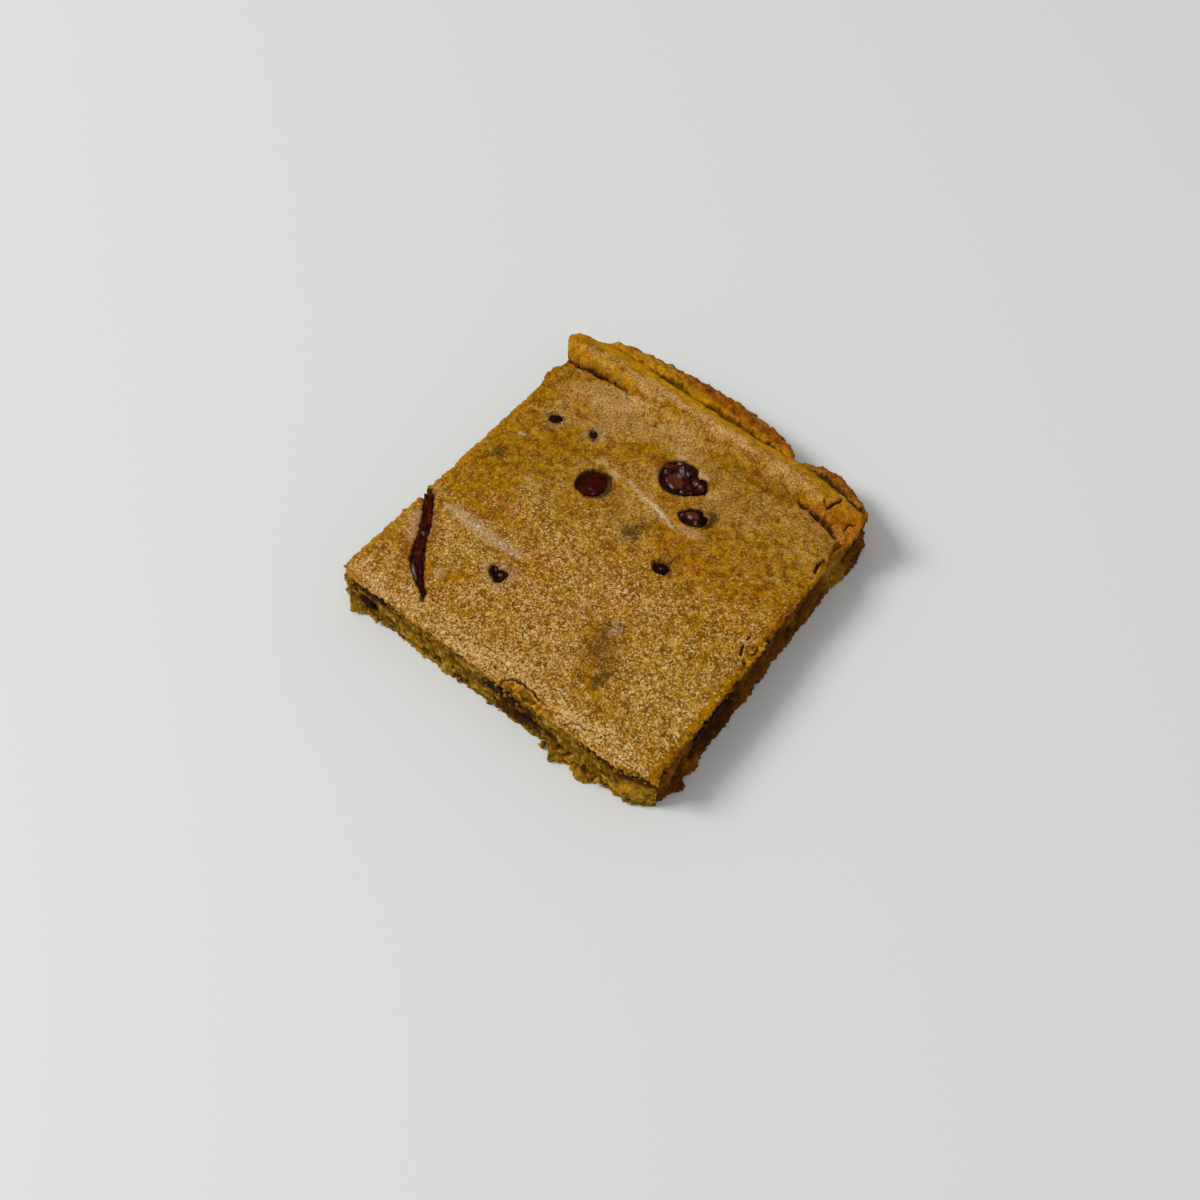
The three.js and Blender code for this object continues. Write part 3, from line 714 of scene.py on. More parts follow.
LARGE = Outline(
    (3.2, 25.4),
    places(
        -3.1, 27.2, -2.1, 29, -0.3, 30.1, 1.7, 30.5, 4.4, 30.3, 5, 28.8, 6.2, 27.8, 7.6, 28.7, 8.9, 27.5,
        10.2, 24.9, 9, 23.6, 7.4, 22.4, 4.8, 20.9, 1.5, 20.2, -0.7, 21.4, -2.5, 23.9,
    ),
    0.035,
    11,
)
BESIDE = Outline(
    (11.5, 17.6),
    places(
        8.3, 16.4, 9, 18, 10.6, 19.7, 12.4, 20.6, 13.3, 19.4, 14.6, 19.6, 15.4, 18, 14.9, 16.2, 13, 15.4,
        11, 15, 9.2, 15.6,
    ),
    0.035,
    13,
)
FRONT = Outline(
    (-14.6, -23.9),
    places(
        -17.1, -22.9, -15.9, -22.4, -14.9, -23, -13.6, -22.2, -12.3, -22.5, -12.4, -24.2, -12.9, -26,
        -14.6, -25.2, -16.4, -24.4,
    ),
    0.05,
    15,
)
ROUND = Outline.oval((-14.0, 11.3), (6.5, 7.6), 8.0, 0.03, 12)
ROUND_POCKET = Outline.oval((-13.4, 11.2), (8.7, 9.0), 20.0, 0.05, 18)
PIT = Outline.oval((14.2, 1.3), (3.6, 2.8), 10.0, 0.12, 14)
PIT_POCKET = Outline.oval((14.4, 1.4), (4.7, 3.9), 10.0, 0.12, 19)
LEFT = Outline.oval((-34.2, 21.8), (3.4, 2.8), 25.0, 0.1, 16)
SMALL = Outline.oval((-23.4, 23.6), (2.9, 1.9), -48.0, 0.13, 17)

# A chip's dark strokes are partly painted shade along its sunk rim, and its whitish strokes are painted
# glints of light.
CHIPS = (
    Chocolate(
        "chip_large", LARGE, Pocket(LARGE, 2.6, 0.2), rise=0.35, edge=1.0, sink=3.6, lumps=0.5,
        wrinkles=0.24, grain=(2.6, 1.2), grain_turn=-24.0, fineness=6, seed=21,
        dark=washes(
            (0.75, 1, -2.6, 25.4, -1.8, 23, -0.2, 21.2, 1.6, 20.6, 4.8, 21.2),
            (1, 1, 6, 22, 7.4, 23.2, 8.8, 23.9), (0.7, 1, 6.6, 27.2, 7.8, 28, 8.9, 26.9, 10, 25),
            soft=0.7,
        ) + washes((0.5, 0.9, -2.6, 28, -0.8, 29.5, 1.4, 30.1, 4.2, 29.8), soft=0.8) + washes(
            (0.45, 0.7, -0.6, 28, 1.2, 27.4, 0.8, 25.6), (0.5, 0.8, 4, 26.9, 5.6, 26, 6.2, 24.4),
        ),
        ruddy=washes((1.3, 0.9, 0, 24.4, 2, 23.6, 4, 23.4), soft=0.8) + washes(
            (1, 0.8, -2.6, 27.6, -2.2, 26), (0.8, 0.7, 8.4, 26.2, 9.2, 25),
        ),
        glints_and_bloom=washes(
            (0.34, 1, -0.7, 29, 0, 29.1), (0.32, 0.9, 7.5, 26.3, 8.1, 25.8),
            (0.26, 0.8, -1.9, 24.9, -1.4, 24.6), (0.2, 0.8, -0.4, 23, 0.4, 22.4),
            (0.3, 0.9, 1.4, 22.1, 2.8, 21.6), (0.24, 0.7, 4.7, 21.8, 5.3, 21.9),
            (0.2, 0.7, 6.9, 22.9, 7.3, 23.1),
            soft=0.8,
        ) + washes(
            (0.5, 0.8, 1.2, 28.2, 1.6, 27, 2.4, 26), (0.36, 0.9, 2.9, 27.6, 3.6, 27),
            (0.34, 0.6, 1.4, 25.4, 2.6, 25.3),
        ) + washes((0.36, 1, 6.1, 26.2, 6.9, 25.9), soft=0.7),
    ),
    Chocolate(
        "chip_round", ROUND, Pocket(ROUND_POCKET, 1.25, 0.12, 0.7), rise=-0.62, edge=0.85, sink=3.2,
        lumps=0.08, wrinkles=0.05, grain=(1.6, 1.2), grain_turn=30.0, fineness=5, seed=22, flatness=0.2,
        dull=True,
        dark=washes((0.5, 0.8, -16.8, 12.6, -17.1, 10.4, -16.2, 8.2, -14.4, 7.2), soft=0.8),
        glints_and_bloom=washes(
            (0.3, 0.25, -13.9, 9.7, -12.9, 9.6), (0.25, 0.2, -12.2, 9, -11.6, 8.8),
        ),
    ),
    Chocolate(
        "chip_beside", BESIDE, Pocket(BESIDE, 2.2, 0.15), rise=0.15, edge=0.9, sink=3.0, lumps=0.3,
        wrinkles=0.18, grain=(1.8, 0.9), grain_turn=-15.0, fineness=5, seed=23,
        dark=washes((0.6, 1, 9, 15.8, 11.4, 15.3, 13.6, 15.6), soft=0.7) + washes(
            (0.9, 1, 13.6, 18.8, 14.8, 18, 14.8, 16.6), (0.5, 1, 11.8, 20.2, 12.6, 20.4),
            (0.7, 0.9, 9.2, 18.2, 10.8, 19.6, 12.8, 19.6),
            soft=0.8,
        ),
        ruddy=washes((1.1, 0.8, 10, 17.8, 11.6, 18.4, 12.6, 17.8), soft=0.8),
        glints_and_bloom=washes(
            (0.42, 1, 10.9, 17.4, 11.8, 16.9), (0.36, 1, 13, 16.5, 13.7, 16.1),
            (0.2, 0.8, 8.9, 16.6, 9.3, 16.4),
            soft=0.8,
        ),
    ),
    Chocolate(
        "chip_pit", PIT, Pocket(PIT_POCKET, 1.5, 0.1, 0.5), rise=-0.55, edge=1.2, sink=2.4, lumps=0.25,
        wrinkles=0.15, grain=(1.0, 0.8), grain_turn=0.0, fineness=5, seed=24,
        dark=washes((1.5, 1, 12.4, 1.2, 14, 2.1, 16.2, 2), soft=0.8),
        glints_and_bloom=washes((0.2, 0.5, 14, 1, 14.6, 0.9)),
    ),
    Chocolate(
        "chip_front", FRONT, Pocket(FRONT, 1.6, 0.15), rise=-0.1, edge=0.8, sink=2.2, lumps=0.3,
        wrinkles=0.22, grain=(1.1, 0.6), grain_turn=-40.0, fineness=5, seed=25, dusted=True,
        dark=washes((1.7, 1, -17, -23.4, -14.8, -24.3, -12.4, -24.6), soft=0.7),
        glints_and_bloom=washes(
            (0.22, 0.8, -15.9, -23.1, -15.3, -23.3), (0.26, 0.9, -14.2, -23.6, -13.6, -24),
            soft=0.8,
        ),
    ),
    Chocolate(
        "chip_left", LEFT, Pocket(LEFT, 1.5), rise=-0.1, edge=0.9, sink=2.2, lumps=0.2, wrinkles=0.14,
        grain=(0.9, 0.7), grain_turn=0.0, fineness=4, seed=26, dusted=True,
        dark=washes((2.6, 1, -36.8, 21.6, -34, 21.4, -31.4, 22.2), soft=0.5),
    ),
    Chocolate(
        "chip_small", SMALL, Pocket(SMALL, 1.3), rise=-0.1, edge=0.8, sink=1.8, lumps=0.2, wrinkles=0.14,
        grain=(0.8, 0.6), grain_turn=-40.0, fineness=4, seed=27, dusted=True,
        dark=washes((2, 1, -25.4, 25, -21.6, 22), soft=0.5),
        glints_and_bloom=washes((0.3, 0.5, -24.3, 24.3, -23.6, 24)),
    ),
)


@dataclass(frozen=True)
class Shard:
    """The long shard of chocolate in its groove across the front left corner."""

    spine: tuple[Point2, ...] = places(
        -43.6, -16.2, -42.6, -17.1, -40.9, -18.9, -38.9, -21.5, -36.5, -25, -34.6, -28.7,
        -32.3, -32.3, -29.5, -35, -26.9, -37, -24.4, -38.5, -23.4, -40.2,
    )
    half_widths: tuple[float, ...] = (1.05, 1.2, 1.15, 1.15, 1.2, 1.3, 1.75, 1.25, 0.75, 0.55, 0.25)
    groove: float = 1.1
    below: float = 0.25
    sink: float = 1.7
    # Painted highlights: whitish gloss on the shard, most of it along its lower left side.
    glints_and_bloom: tuple[Trace, ...] = washes(
        (0.4, 1, -32.4, -34, -30.6, -35.6, -28.6, -36.9), (0.28, 0.7, -36.4, -25.6, -35.8, -26.4), soft=0.8
    )

    def cover(self, x: Values, y: Values) -> tuple[Values, Values]:
        """Where a point lies over the shard.

        Args:
            x: Across the square.
            y: Along it.

        Returns:
            The distance outside the shard's edge, below 0 inside, and the place along it.
        """
        nearest = np.full(x.shape, 99.0)
        along = np.zeros(x.shape)
        legs = list(zip(self.spine, self.spine[1:], self.half_widths, self.half_widths[1:]))
        for number, ((x0, y0), (x1, y1), w0, w1) in enumerate(legs):
            dx, dy = x1 - x0, y1 - y0
            t = np.clip(((x - x0) * dx + (y - y0) * dy) / (dx * dx + dy * dy), 0.0, 1.0)
            distance = np.hypot(x - x0 - t * dx, y - y0 - t * dy) - blend(w0, w1, t)
            closer = distance < nearest
            nearest = np.where(closer, distance, nearest)
            along = np.where(closer, (number + t) / len(legs), along)
        return nearest, along


# ---------------- meshes


def mesh_points(mesh: bpy.types.Mesh) -> Values:
    """Reads a mesh's points as rows.

    Args:
        mesh: The mesh.

    Returns:
        One row for each point.
    """
    flat = np.empty(len(mesh.vertices) * 3)
    mesh.vertices.foreach_get("co", flat)
    return flat.reshape(-1, 3)


def settle(mesh: bpy.types.Mesh, points: Values, plan: Plan) -> None:
    """Writes points in millimetres of the plan back to a mesh, in the part's frame and in metres.

    Args:
        mesh: The mesh.
        points: Its points, one row each.
        plan: The square's plan.
    """
    placed = (points + np.array([plan.middle[0], plan.middle[1], 0.0])) * MM
    mesh.vertices.foreach_set("co", placed.astype(np.float32).ravel())
    mesh.update()


def store(mesh: bpy.types.Mesh, name: str, values: Values) -> None:
    """Keeps one number for each point of a mesh, for its material to read."""
    layer = mesh.attributes.new(name, "FLOAT", "POINT")
    layer.data.foreach_set("value", np.clip(values, 0.0, 1.0).astype(np.float32))


def to_mesh(shape: bmesh.types.BMesh, name: str) -> bpy.types.Mesh:
    """Turns a finished shape into a smooth-shaded mesh and frees it.

    Args:
        shape: The shape.
        name: The mesh's name.

    Returns:
        The mesh.
    """
    mesh = bpy.data.meshes.new(name)
    shape.normal_update()
    shape.to_mesh(mesh)
    shape.free()
    mesh.polygons.foreach_set("use_smooth", [True] * len(mesh.polygons))
    return mesh


def finished_piece(
    mesh: bpy.types.Mesh, materials: Sequence[bpy.types.Material], nodes: Sequence[str] = ()
) -> Piece:
    """Makes a mesh a piece of the part.

    Args:
        mesh: The finished mesh.
        materials: Its materials, in the order of the mesh's material numbers.
        nodes: The solids that it stands for.

    Returns:
        The piece.
    """
    piece = bpy.data.objects.new(mesh.name, mesh)
    bpy.context.scene.collection.objects.link(piece)
    for material in materials:
        mesh.materials.append(material)
    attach(piece, BODY)
    if nodes:
        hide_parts(*nodes)
    log.info("%s: %d points, %d faces", piece.name, len(mesh.vertices), len(mesh.polygons))
    return piece


def extrude_ring(shape: bmesh.types.BMesh, edges: list, step: float) -> list:
    """Extrudes a closed ring of edges by one step along Z.

    Args:
        shape: The shape that holds the ring.
        edges: The ring's edges.
        step: How far to move the new ring.

    Returns:
        The new ring's edges.
    """
    made = bmesh.ops.extrude_edge_only(shape, edges=edges)["geom"]
    points = [item for item in made if isinstance(item, bmesh.types.BMVert)]
    bmesh.ops.translate(shape, verts=points, vec=(0.0, 0.0, step))
    fresh = set(points)
    return [
        item
        for item in made
        if isinstance(item, bmesh.types.BMEdge) and item.verts[0] in fresh and item.verts[1] in fresh
    ]


# ---------------- shader wiring


class Wiring:
    """Wires the shader nodes of one material."""

    def __init__(self, name: str) -> None:
        """Starts a material with an empty principled shader.

        Args:
            name: The material's name.
        """
        self._material = bpy.data.materials.new(name)
        self._material.use_nodes = True
        self._tree = self._material.node_tree
        place = self._node("ShaderNodeTexCoord", {}).outputs["Object"]
        inputs = {"Vector": place, "Scale": (1.0 / MM,) * 3}
        self._place = self._node("ShaderNodeMapping", inputs).outputs[0]

    def _feed(self, socket: Socket, value: object) -> None:
        """Links a socket to another, or gives it a plain value.

        Args:
            socket: The socket to feed.
            value: Another socket, a number, three numbers or a colour.
        """
        if isinstance(value, Socket):
            self._tree.links.new(value, socket)
        elif isinstance(value, tuple) and len(socket.default_value) == 4:
            socket.default_value = (*value, 1.0)
        else:
            socket.default_value = value

    def _node(self, kind: str, inputs: dict[int | str, object], **settings: object) -> bpy.types.Node:
        """Adds a node.

        Args:
            kind: Its type.
            inputs: What its inputs get, by name or number.
            **settings: Its own settings.

        Returns:
            The node.
        """
        node = self._tree.nodes.new(kind)
        for key, value in settings.items():
            setattr(node, key, value)
        for key, value in inputs.items():
            self._feed(node.inputs[key], value)
        return node

    def noise(self, size: float, detail: float, rough: float, warp: float = 0.0) -> Socket:
        """Soft noise of about 0.3 to 0.7.

        Args:
            size: The size of its lumps in millimetres.
            detail: How many layers of finer lumps lie on them.
            rough: How strong the finer layers are.
            warp: How far the lumps are pulled out of shape.

        Returns:
            The noise.
        """
        inputs = {"Vector": self._place, "Scale": 1.0 / size, "Detail": detail, "Roughness": rough}
        return self._node("ShaderNodeTexNoise", inputs | {"Distortion": warp}).outputs["Fac"]

    def flakes(self, size: float, lump: float, shake: float) -> tuple[Socket, ...]:
        """Packed flakes of irregular shape.

        Args:
            size: The size of a flake in millimetres.
            lump: The size of the noise that makes their shapes irregular.
            shake: How far that noise moves their edges.

        Returns:
            Two random numbers from 0 to 1 for each flake.
        """
        inputs = {"Vector": self._place, "Scale": 1.0 / lump, "Detail": 2.0}
        noise = self._node("ShaderNodeTexNoise", inputs).outputs["Color"]
        inputs = {0: noise, 1: (2.0 * shake,) * 3, 2: self._place}
        at = self._node("ShaderNodeVectorMath", inputs, operation="MULTIPLY_ADD").outputs[0]
        flake = self._node("ShaderNodeTexVoronoi", {"Vector": at, "Scale": 1.0 / size}, feature="F1")
        parts = self._node("ShaderNodeSeparateColor", {0: flake.outputs["Color"]}).outputs
        return parts[0], parts[1]

    def stored(self, name: str) -> Socket:
        """A number kept in the mesh by its name."""
        return self._node("ShaderNodeAttribute", {}, attribute_name=name).outputs["Fac"]

    def step(
        self, value: object, low: float, high: float, start: float = 0.0, end: float = 1.0
    ) -> Socket:
        """Eases from start to end as the value goes from low to high."""
        inputs = dict(enumerate((value, low, high, start, end)))
        return self._node("ShaderNodeMapRange", inputs, interpolation_type="SMOOTHSTEP").outputs[0]

    def total(self, *parts: tuple[object, float]) -> Socket:
        """Adds up numbers.

        Args:
            *parts: The numbers, each with its weight.

        Returns:
            Their sum.
        """
        result: object = 0.0
        for value, weight in parts:
            inputs = {0: value, 1: weight, 2: result}
            result = self._node("ShaderNodeMath", inputs, operation="MULTIPLY_ADD").outputs[0]
        return result

    def _join(self, operation: str, first: object, second: object) -> Socket:
        """Joins two numbers, kept between 0 and 1."""
        inputs = {0: first, 1: second}
        return self._node("ShaderNodeMath", inputs, operation=operation, use_clamp=True).outputs[0]

    def times(self, first: object, second: object) -> Socket:
        """Multiplies two numbers."""
        return self._join("MULTIPLY", first, second)

    def less(self, first: object, second: object) -> Socket:
        """Takes the second number from the first."""
        return self._join("SUBTRACT", first, second)

    def most(self, first: object, second: object) -> Socket:
        """The larger of two numbers."""
        return self._join("MAXIMUM", first, second)

    def blend(self, share: object, first: object, second: object) -> Socket:
        """Goes from the first number to the second."""
        return self._node("ShaderNodeMix", {0: share, 2: first, 3: second}, data_type="FLOAT").outputs[0]

    def mix(self, share: object, first: object, second: object, how: str = "MIX") -> Socket:
        """Goes from the first colour to the second."""
        inputs = {0: share, 6: first, 7: second}
        return self._node("ShaderNodeMix", inputs, data_type="RGBA", blend_type=how).outputs[2]

    def tint(self, colour: object, by: object) -> Socket:
        """A colour times another."""
        return self.mix(1.0, colour, by, "MULTIPLY")

    def bump(
        self, height: object, depth: float, strength: float, below: object = None
    ) -> Socket:
        """Fine relief.

        Args:
            height: Its height, from 0 to 1.
            depth: Its depth in millimetres.
            strength: How much of it shows.
            below: Coarser relief that it lies on.

        Returns:
            The relief.
        """
        inputs = {"Strength": strength, "Distance": depth * MM, "Height": height}
        if below is not None:
            inputs["Normal"] = below
        return self._node("ShaderNodeBump", inputs).outputs[0]

    def dress(
        self, colour: object, roughness: object, relief: Socket, gloss: float
    ) -> bpy.types.Material:
        """Feeds the principled shader.

        Args:
            colour: The base colour.
            roughness: The roughness.
            relief: The relief.
            gloss: The specular level.

        Returns:
            The finished material.
        """
        shader = self._tree.nodes["Principled BSDF"]
        names = ("Base Color", "Roughness", "Normal", "Specular IOR Level")
        for name, value in zip(names, (colour, roughness, relief, gloss)):
            self._feed(shader.inputs[name], value)
        return self._material


def shade_of(colour: Colour, share: float) -> Colour:
    """A colour made darker or lighter."""
    return tuple(share * part for part in colour)


@dataclass(frozen=True)
class CrustFinish:
    """Dry baked crust: a pale floury film broken by amber, browned where the mesh says so, with painted
    shade in its cracks, crevice and pockets where the mesh says so.
    """

    amber_dark: Colour = (0.165, 0.051, 0.0006)
    amber_light: Colour = (0.50, 0.224, 0.0018)
    film_dark: Colour = (0.40, 0.182, 0.030)
    film_light: Colour = (0.755, 0.498, 0.194)
    flake: Colour = (0.84, 0.63, 0.29)
    golden: Colour = (0.72, 0.320, 0.004)
    olive_cast: Colour = (0.98, 1.035, 0.85)
    rosy_cast: Colour = (1.035, 0.97, 1.03)
    browned: Colour = (0.30, 0.082, 0.002)
    shaded: Colour = (0.070, 0.043, 0.006)
    floury: Colour = (0.72, 0.53, 0.34)
    crumbly: Colour = (0.71, 0.315, 0.016)
    # Near black: painted shade in cracks, crevice and pockets, and the dark specks and shard melt.
    deep: Colour = (0.030, 0.009, 0.0015)
    roughness: float = 0.75
    gloss: float = 0.03

    def build(self) -> bpy.types.Material:
        """Makes the material.

        Returns:
            The material.
        """
        w = Wiring("baked_crust")
        grit, tone = w.stored("grit"), w.stored("tone")
        kind, rare = w.flakes(0.5, 0.6, 0.4)
        broad_kind, _ = w.flakes(1.5, 1.2, 1.0)
        fine = w.total((w.noise(0.42, 4.0, 0.8, 0.2), 0.80), (kind, 0.14), (broad_kind, 0.04))
        soft = w.noise(3.6, 5.0, 0.62, 0.4)
        mottle = w.noise(2.4, 5.0, 0.8, 0.4)
        grain = w.step(w.noise(0.42, 2.0, 0.6), 0.36, 0.64)
        flecks = w.step(w.total((fine, 1.0), (tone, 0.4)), 0.605, 0.745)
        clumps = w.noise(1.5, 3.0, 0.6, 0.4)
        haze = w.less(w.total((tone, 1.0), (soft, 1.1), (clumps, 0.36), (fine, 1.5)), 1.5)
        film = w.blend(grit, haze, flecks)
        depth = w.step(w.total((mottle, 1.0), (fine, 0.9)), 0.77, 1.13)
        bare = w.mix(depth, self.amber_dark, self.amber_light)
        colour = w.mix(film, bare, w.mix(grain, self.film_dark, self.film_light))
        cast = w.total((w.stored("rosy"), 1.0), (w.noise(4.2, 3.0, 0.6, 0.5), 1.3), (kind, 0.5))
        colour = w.tint(colour, w.mix(w.step(cast, 0.9, 1.9), self.olive_cast, self.rosy_cast))
        scaling = w.times(w.step(rare, 0.91, 0.96), w.step(tone, 0.1, 0.5, 0.35, 0.75))
        colour = w.mix(w.times(scaling, w.step(grit, 0.0, 0.8, 0.3, 1.0)), colour, self.flake)
        rust = w.times(w.step(rare, 0.05, 0.02), w.step(grit, 0.0, 0.8, 0.2, 0.7))
        colour = w.mix(rust, colour, self.browned)
        colour = w.mix(w.stored("golden"), colour, w.mix(depth, shade_of(self.golden, 0.6), self.golden))
        pits = w.times(w.step(w.noise(1.0, 2.0, 0.5), 0.31, 0.25), grit)
        colour = w.mix(w.total((pits, 0.6)), colour, self.browned)
        floury = w.times(w.stored("pale"), w.step(fine, 0.32, 0.6, 0.4, 1.0))
        colour = w.mix(floury, colour, self.floury)
        lumps = w.step(w.total((w.noise(1.5, 3.0, 0.6, 0.4), 1.0), (kind, 0.16)), 0.50, 0.70)
        crumb = w.mix(lumps, shade_of(self.crumbly, 0.32), self.crumbly)
        colour = w.mix(w.stored("crumbly"), colour, crumb)
        browned = w.mix(depth, shade_of(self.browned, 0.5), shade_of(self.browned, 1.6))
        # Browning, and painted shade on the turned-down right edge, where the mesh says so.
        colour = w.mix(w.stored("burn"), colour, browned)
        shade = w.times(w.stored("shade"), w.step(fine, 0.35, 0.6, 1.0, 0.5))
        colour = w.mix(shade, colour, self.shaded)
        # Painted shade in cracks, crevice and pockets, with the dark specks and shard melt, from the mesh.
        colour = w.mix(w.stored("gap"), colour, self.deep)
        relief = w.bump(fine, 0.16, 0.7, w.bump(w.noise(0.9, 3.0, 0.6), 0.22, 0.7))
        return w.dress(colour, self.roughness, relief, self.gloss)


@dataclass(frozen=True)
class CrumbFinish:
    """Moist cut crumb: dense olive gold and yellow on its loose grains, with painted shade in its hollows
    and wherever the mesh marks shade.
    """

    hollow: Colour = (0.060, 0.019, 0.0004)
    body: Colour = (0.225, 0.105, 0.0015)
    grain: Colour = (0.48, 0.285, 0.018)
    pale: Colour = (0.56, 0.42, 0.15)
    golden: Colour = (0.54, 0.26, 0.008)
    ruddy: Colour = (0.30, 0.090, 0.0008)
    smeared: Colour = (0.030, 0.0085, 0.0008)
    roughness: float = 0.6
    gloss: float = 0.04

    def build(self) -> bpy.types.Material:
        """Makes the material.

        Returns:
            The material.
        """
        w = Wiring("cut_crumb")
        lumps = w.step(w.noise(1.6, 4.0, 0.6, 0.4), 0.36, 0.64)
        fine = w.step(w.noise(0.5, 2.0, 0.6), 0.36, 0.64)
        # Painted light from the relief that the mesh keeps: low places take the dark colour as painted
        # shade, high ones the yellow grain colour and scarce pale flecks, partly as painted highlights.
        lit_relief = w.stored("lit_relief")
        colour = w.mix(w.step(lit_relief, 0.15, 0.6), self.hollow, self.body)
        kind, rare = w.flakes(0.75, 0.9, 0.5)
        mixed = w.step(w.total((lumps, 0.5), (kind, 0.5)), 0.2, 0.8, 0.2, 1.0)
        colour = w.mix(w.times(w.step(lit_relief, 0.45, 0.9), mixed), colour, self.grain)
        scarce = w.times(w.step(rare, 0.86, 0.92), w.step(lit_relief, 0.35, 0.7, 0.0, 0.55))
        colour = w.mix(scarce, colour, self.pale)
        colour = w.mix(w.times(w.step(kind, 0.22, 0.1), 0.45), colour, self.hollow)
        yolky = w.times(w.stored("golden"), w.step(fine, 0.0, 1.0, 0.6, 1.0))
        colour = w.mix(yolky, colour, self.golden)
        colour = w.mix(w.times(w.step(lumps, 0.55, 0.0), 0.35), colour, self.hollow)
        # The ruddy colour, darker where the mesh is low: painted shade on the right side and under the
        # crust at the front right.
        colour = w.mix(w.stored("ruddy"), colour, w.mix(lit_relief, self.hollow, self.ruddy))
        colour = w.mix(w.stored("smeared"), colour, self.smeared)
        dryness = w.step(lumps, 0.0, 1.0, self.roughness - 0.12, self.roughness + 0.2)
        coarse = w.bump(w.total((w.noise(0.7, 4.0, 0.65), 1.0), (kind, 0.35)), 0.34, 0.8)
        relief = w.bump(w.noise(0.28, 2.0, 0.6), 0.12, 0.7, coarse)
        return w.dress(colour, dryness, relief, self.gloss)


@dataclass(frozen=True)
class PanSideFinish:
    """Crust that baked against the pan: smoother, orange brown, in darker and lighter patches."""

    light: Colour = (0.37, 0.150, 0.008)
    dark: Colour = (0.19, 0.058, 0.003)
    roughness: float = 0.55
    gloss: float = 0.1

    def build(self) -> bpy.types.Material:
        """Makes the material.

        Returns:
            The material.
        """
        w = Wiring("pan_side")
        patches = w.step(w.noise(4.5, 4.0, 0.6, 0.5), 0.35, 0.65)
        fine = w.step(w.noise(0.8, 3.0, 0.6), 0.35, 0.65)
        share = w.total((patches, 0.6), (fine, 0.3))
        dryness = w.step(fine, 0.0, 1.0, self.roughness - 0.1, self.roughness + 0.15)
        relief = w.bump(w.noise(0.8, 4.0, 0.65), 0.2, 0.6)
        return w.dress(w.mix(share, self.dark, self.light), dryness, relief, self.gloss)


@dataclass(frozen=True)
class ChocolateFinish:
    """Dark chocolate that has half melted and set again, with a faint whitish fat film and painted glints
    of light.
    """

    name: str
    dark: Colour = (0.012, 0.0012, 0.0006)
    red: Colour = (0.110, 0.025, 0.006)
    # Whitish: the faint fat film, and the painted glints of light.
    bloom_and_glint: Colour = (0.46, 0.36, 0.38)
    bloom_share: float = 0.04
    roughness: float = 0.3
    gloss: float = 0.036

    def build(self) -> bpy.types.Material:
        """Makes the material.

        Returns:
            The material.
        """
        w = Wiring(self.name)
        marbled = (w.noise(1.5, 4.0, 0.65, 0.5), 0.8), (w.noise(0.5, 3.0, 0.7), 0.3)
        patches = w.step(w.total(*marbled, (w.stored("ruddy"), 0.34)), 0.54, 0.80)
        colour = w.mix(patches, self.dark, self.red)
        speck = w.noise(0.3, 3.0, 0.7, 0.4)
        veil = w.times(w.step(w.noise(1.1, 4.0, 0.7, 0.8), 0.56, 0.70), self.bloom_share)
        # Painted glints of light, with a little whitish fat film, where the mesh marks them.
        spots = w.times(w.stored("glints_and_bloom"), w.step(speck, 0.44, 0.58, 0.1, 1.0))
        colour = w.mix(w.most(veil, spots), colour, self.bloom_and_glint)
        dryness = w.step(patches, 0.0, 1.0, self.roughness - 0.06, self.roughness + 0.2)
        return w.dress(colour, dryness, w.bump(w.noise(0.34, 3.0, 0.7), 0.5, 0.6), self.gloss)


DULL = ChocolateFinish(
    "dull_chocolate",
    dark=(0.034, 0.002, 0.0004),
    red=(0.066, 0.0066, 0.001),
    bloom_share=0.03,
    roughness=0.55,
    gloss=0.03,
)
DRAWN = ChocolateFinish(
    "drawn_chocolate",
    dark=(0.014, 0.001, 0.0004),
    red=(0.115, 0.014, 0.001),
    bloom_share=0.0,
    roughness=0.45,
    gloss=0.045,
)
CUT = ChocolateFinish(
    "cut_chocolate",
    dark=(0.012, 0.003, 0.001),
    red=(0.06, 0.016, 0.004),
    bloom_share=0.1,
    roughness=0.5,
    gloss=0.05,
)


# ---------------- the crust


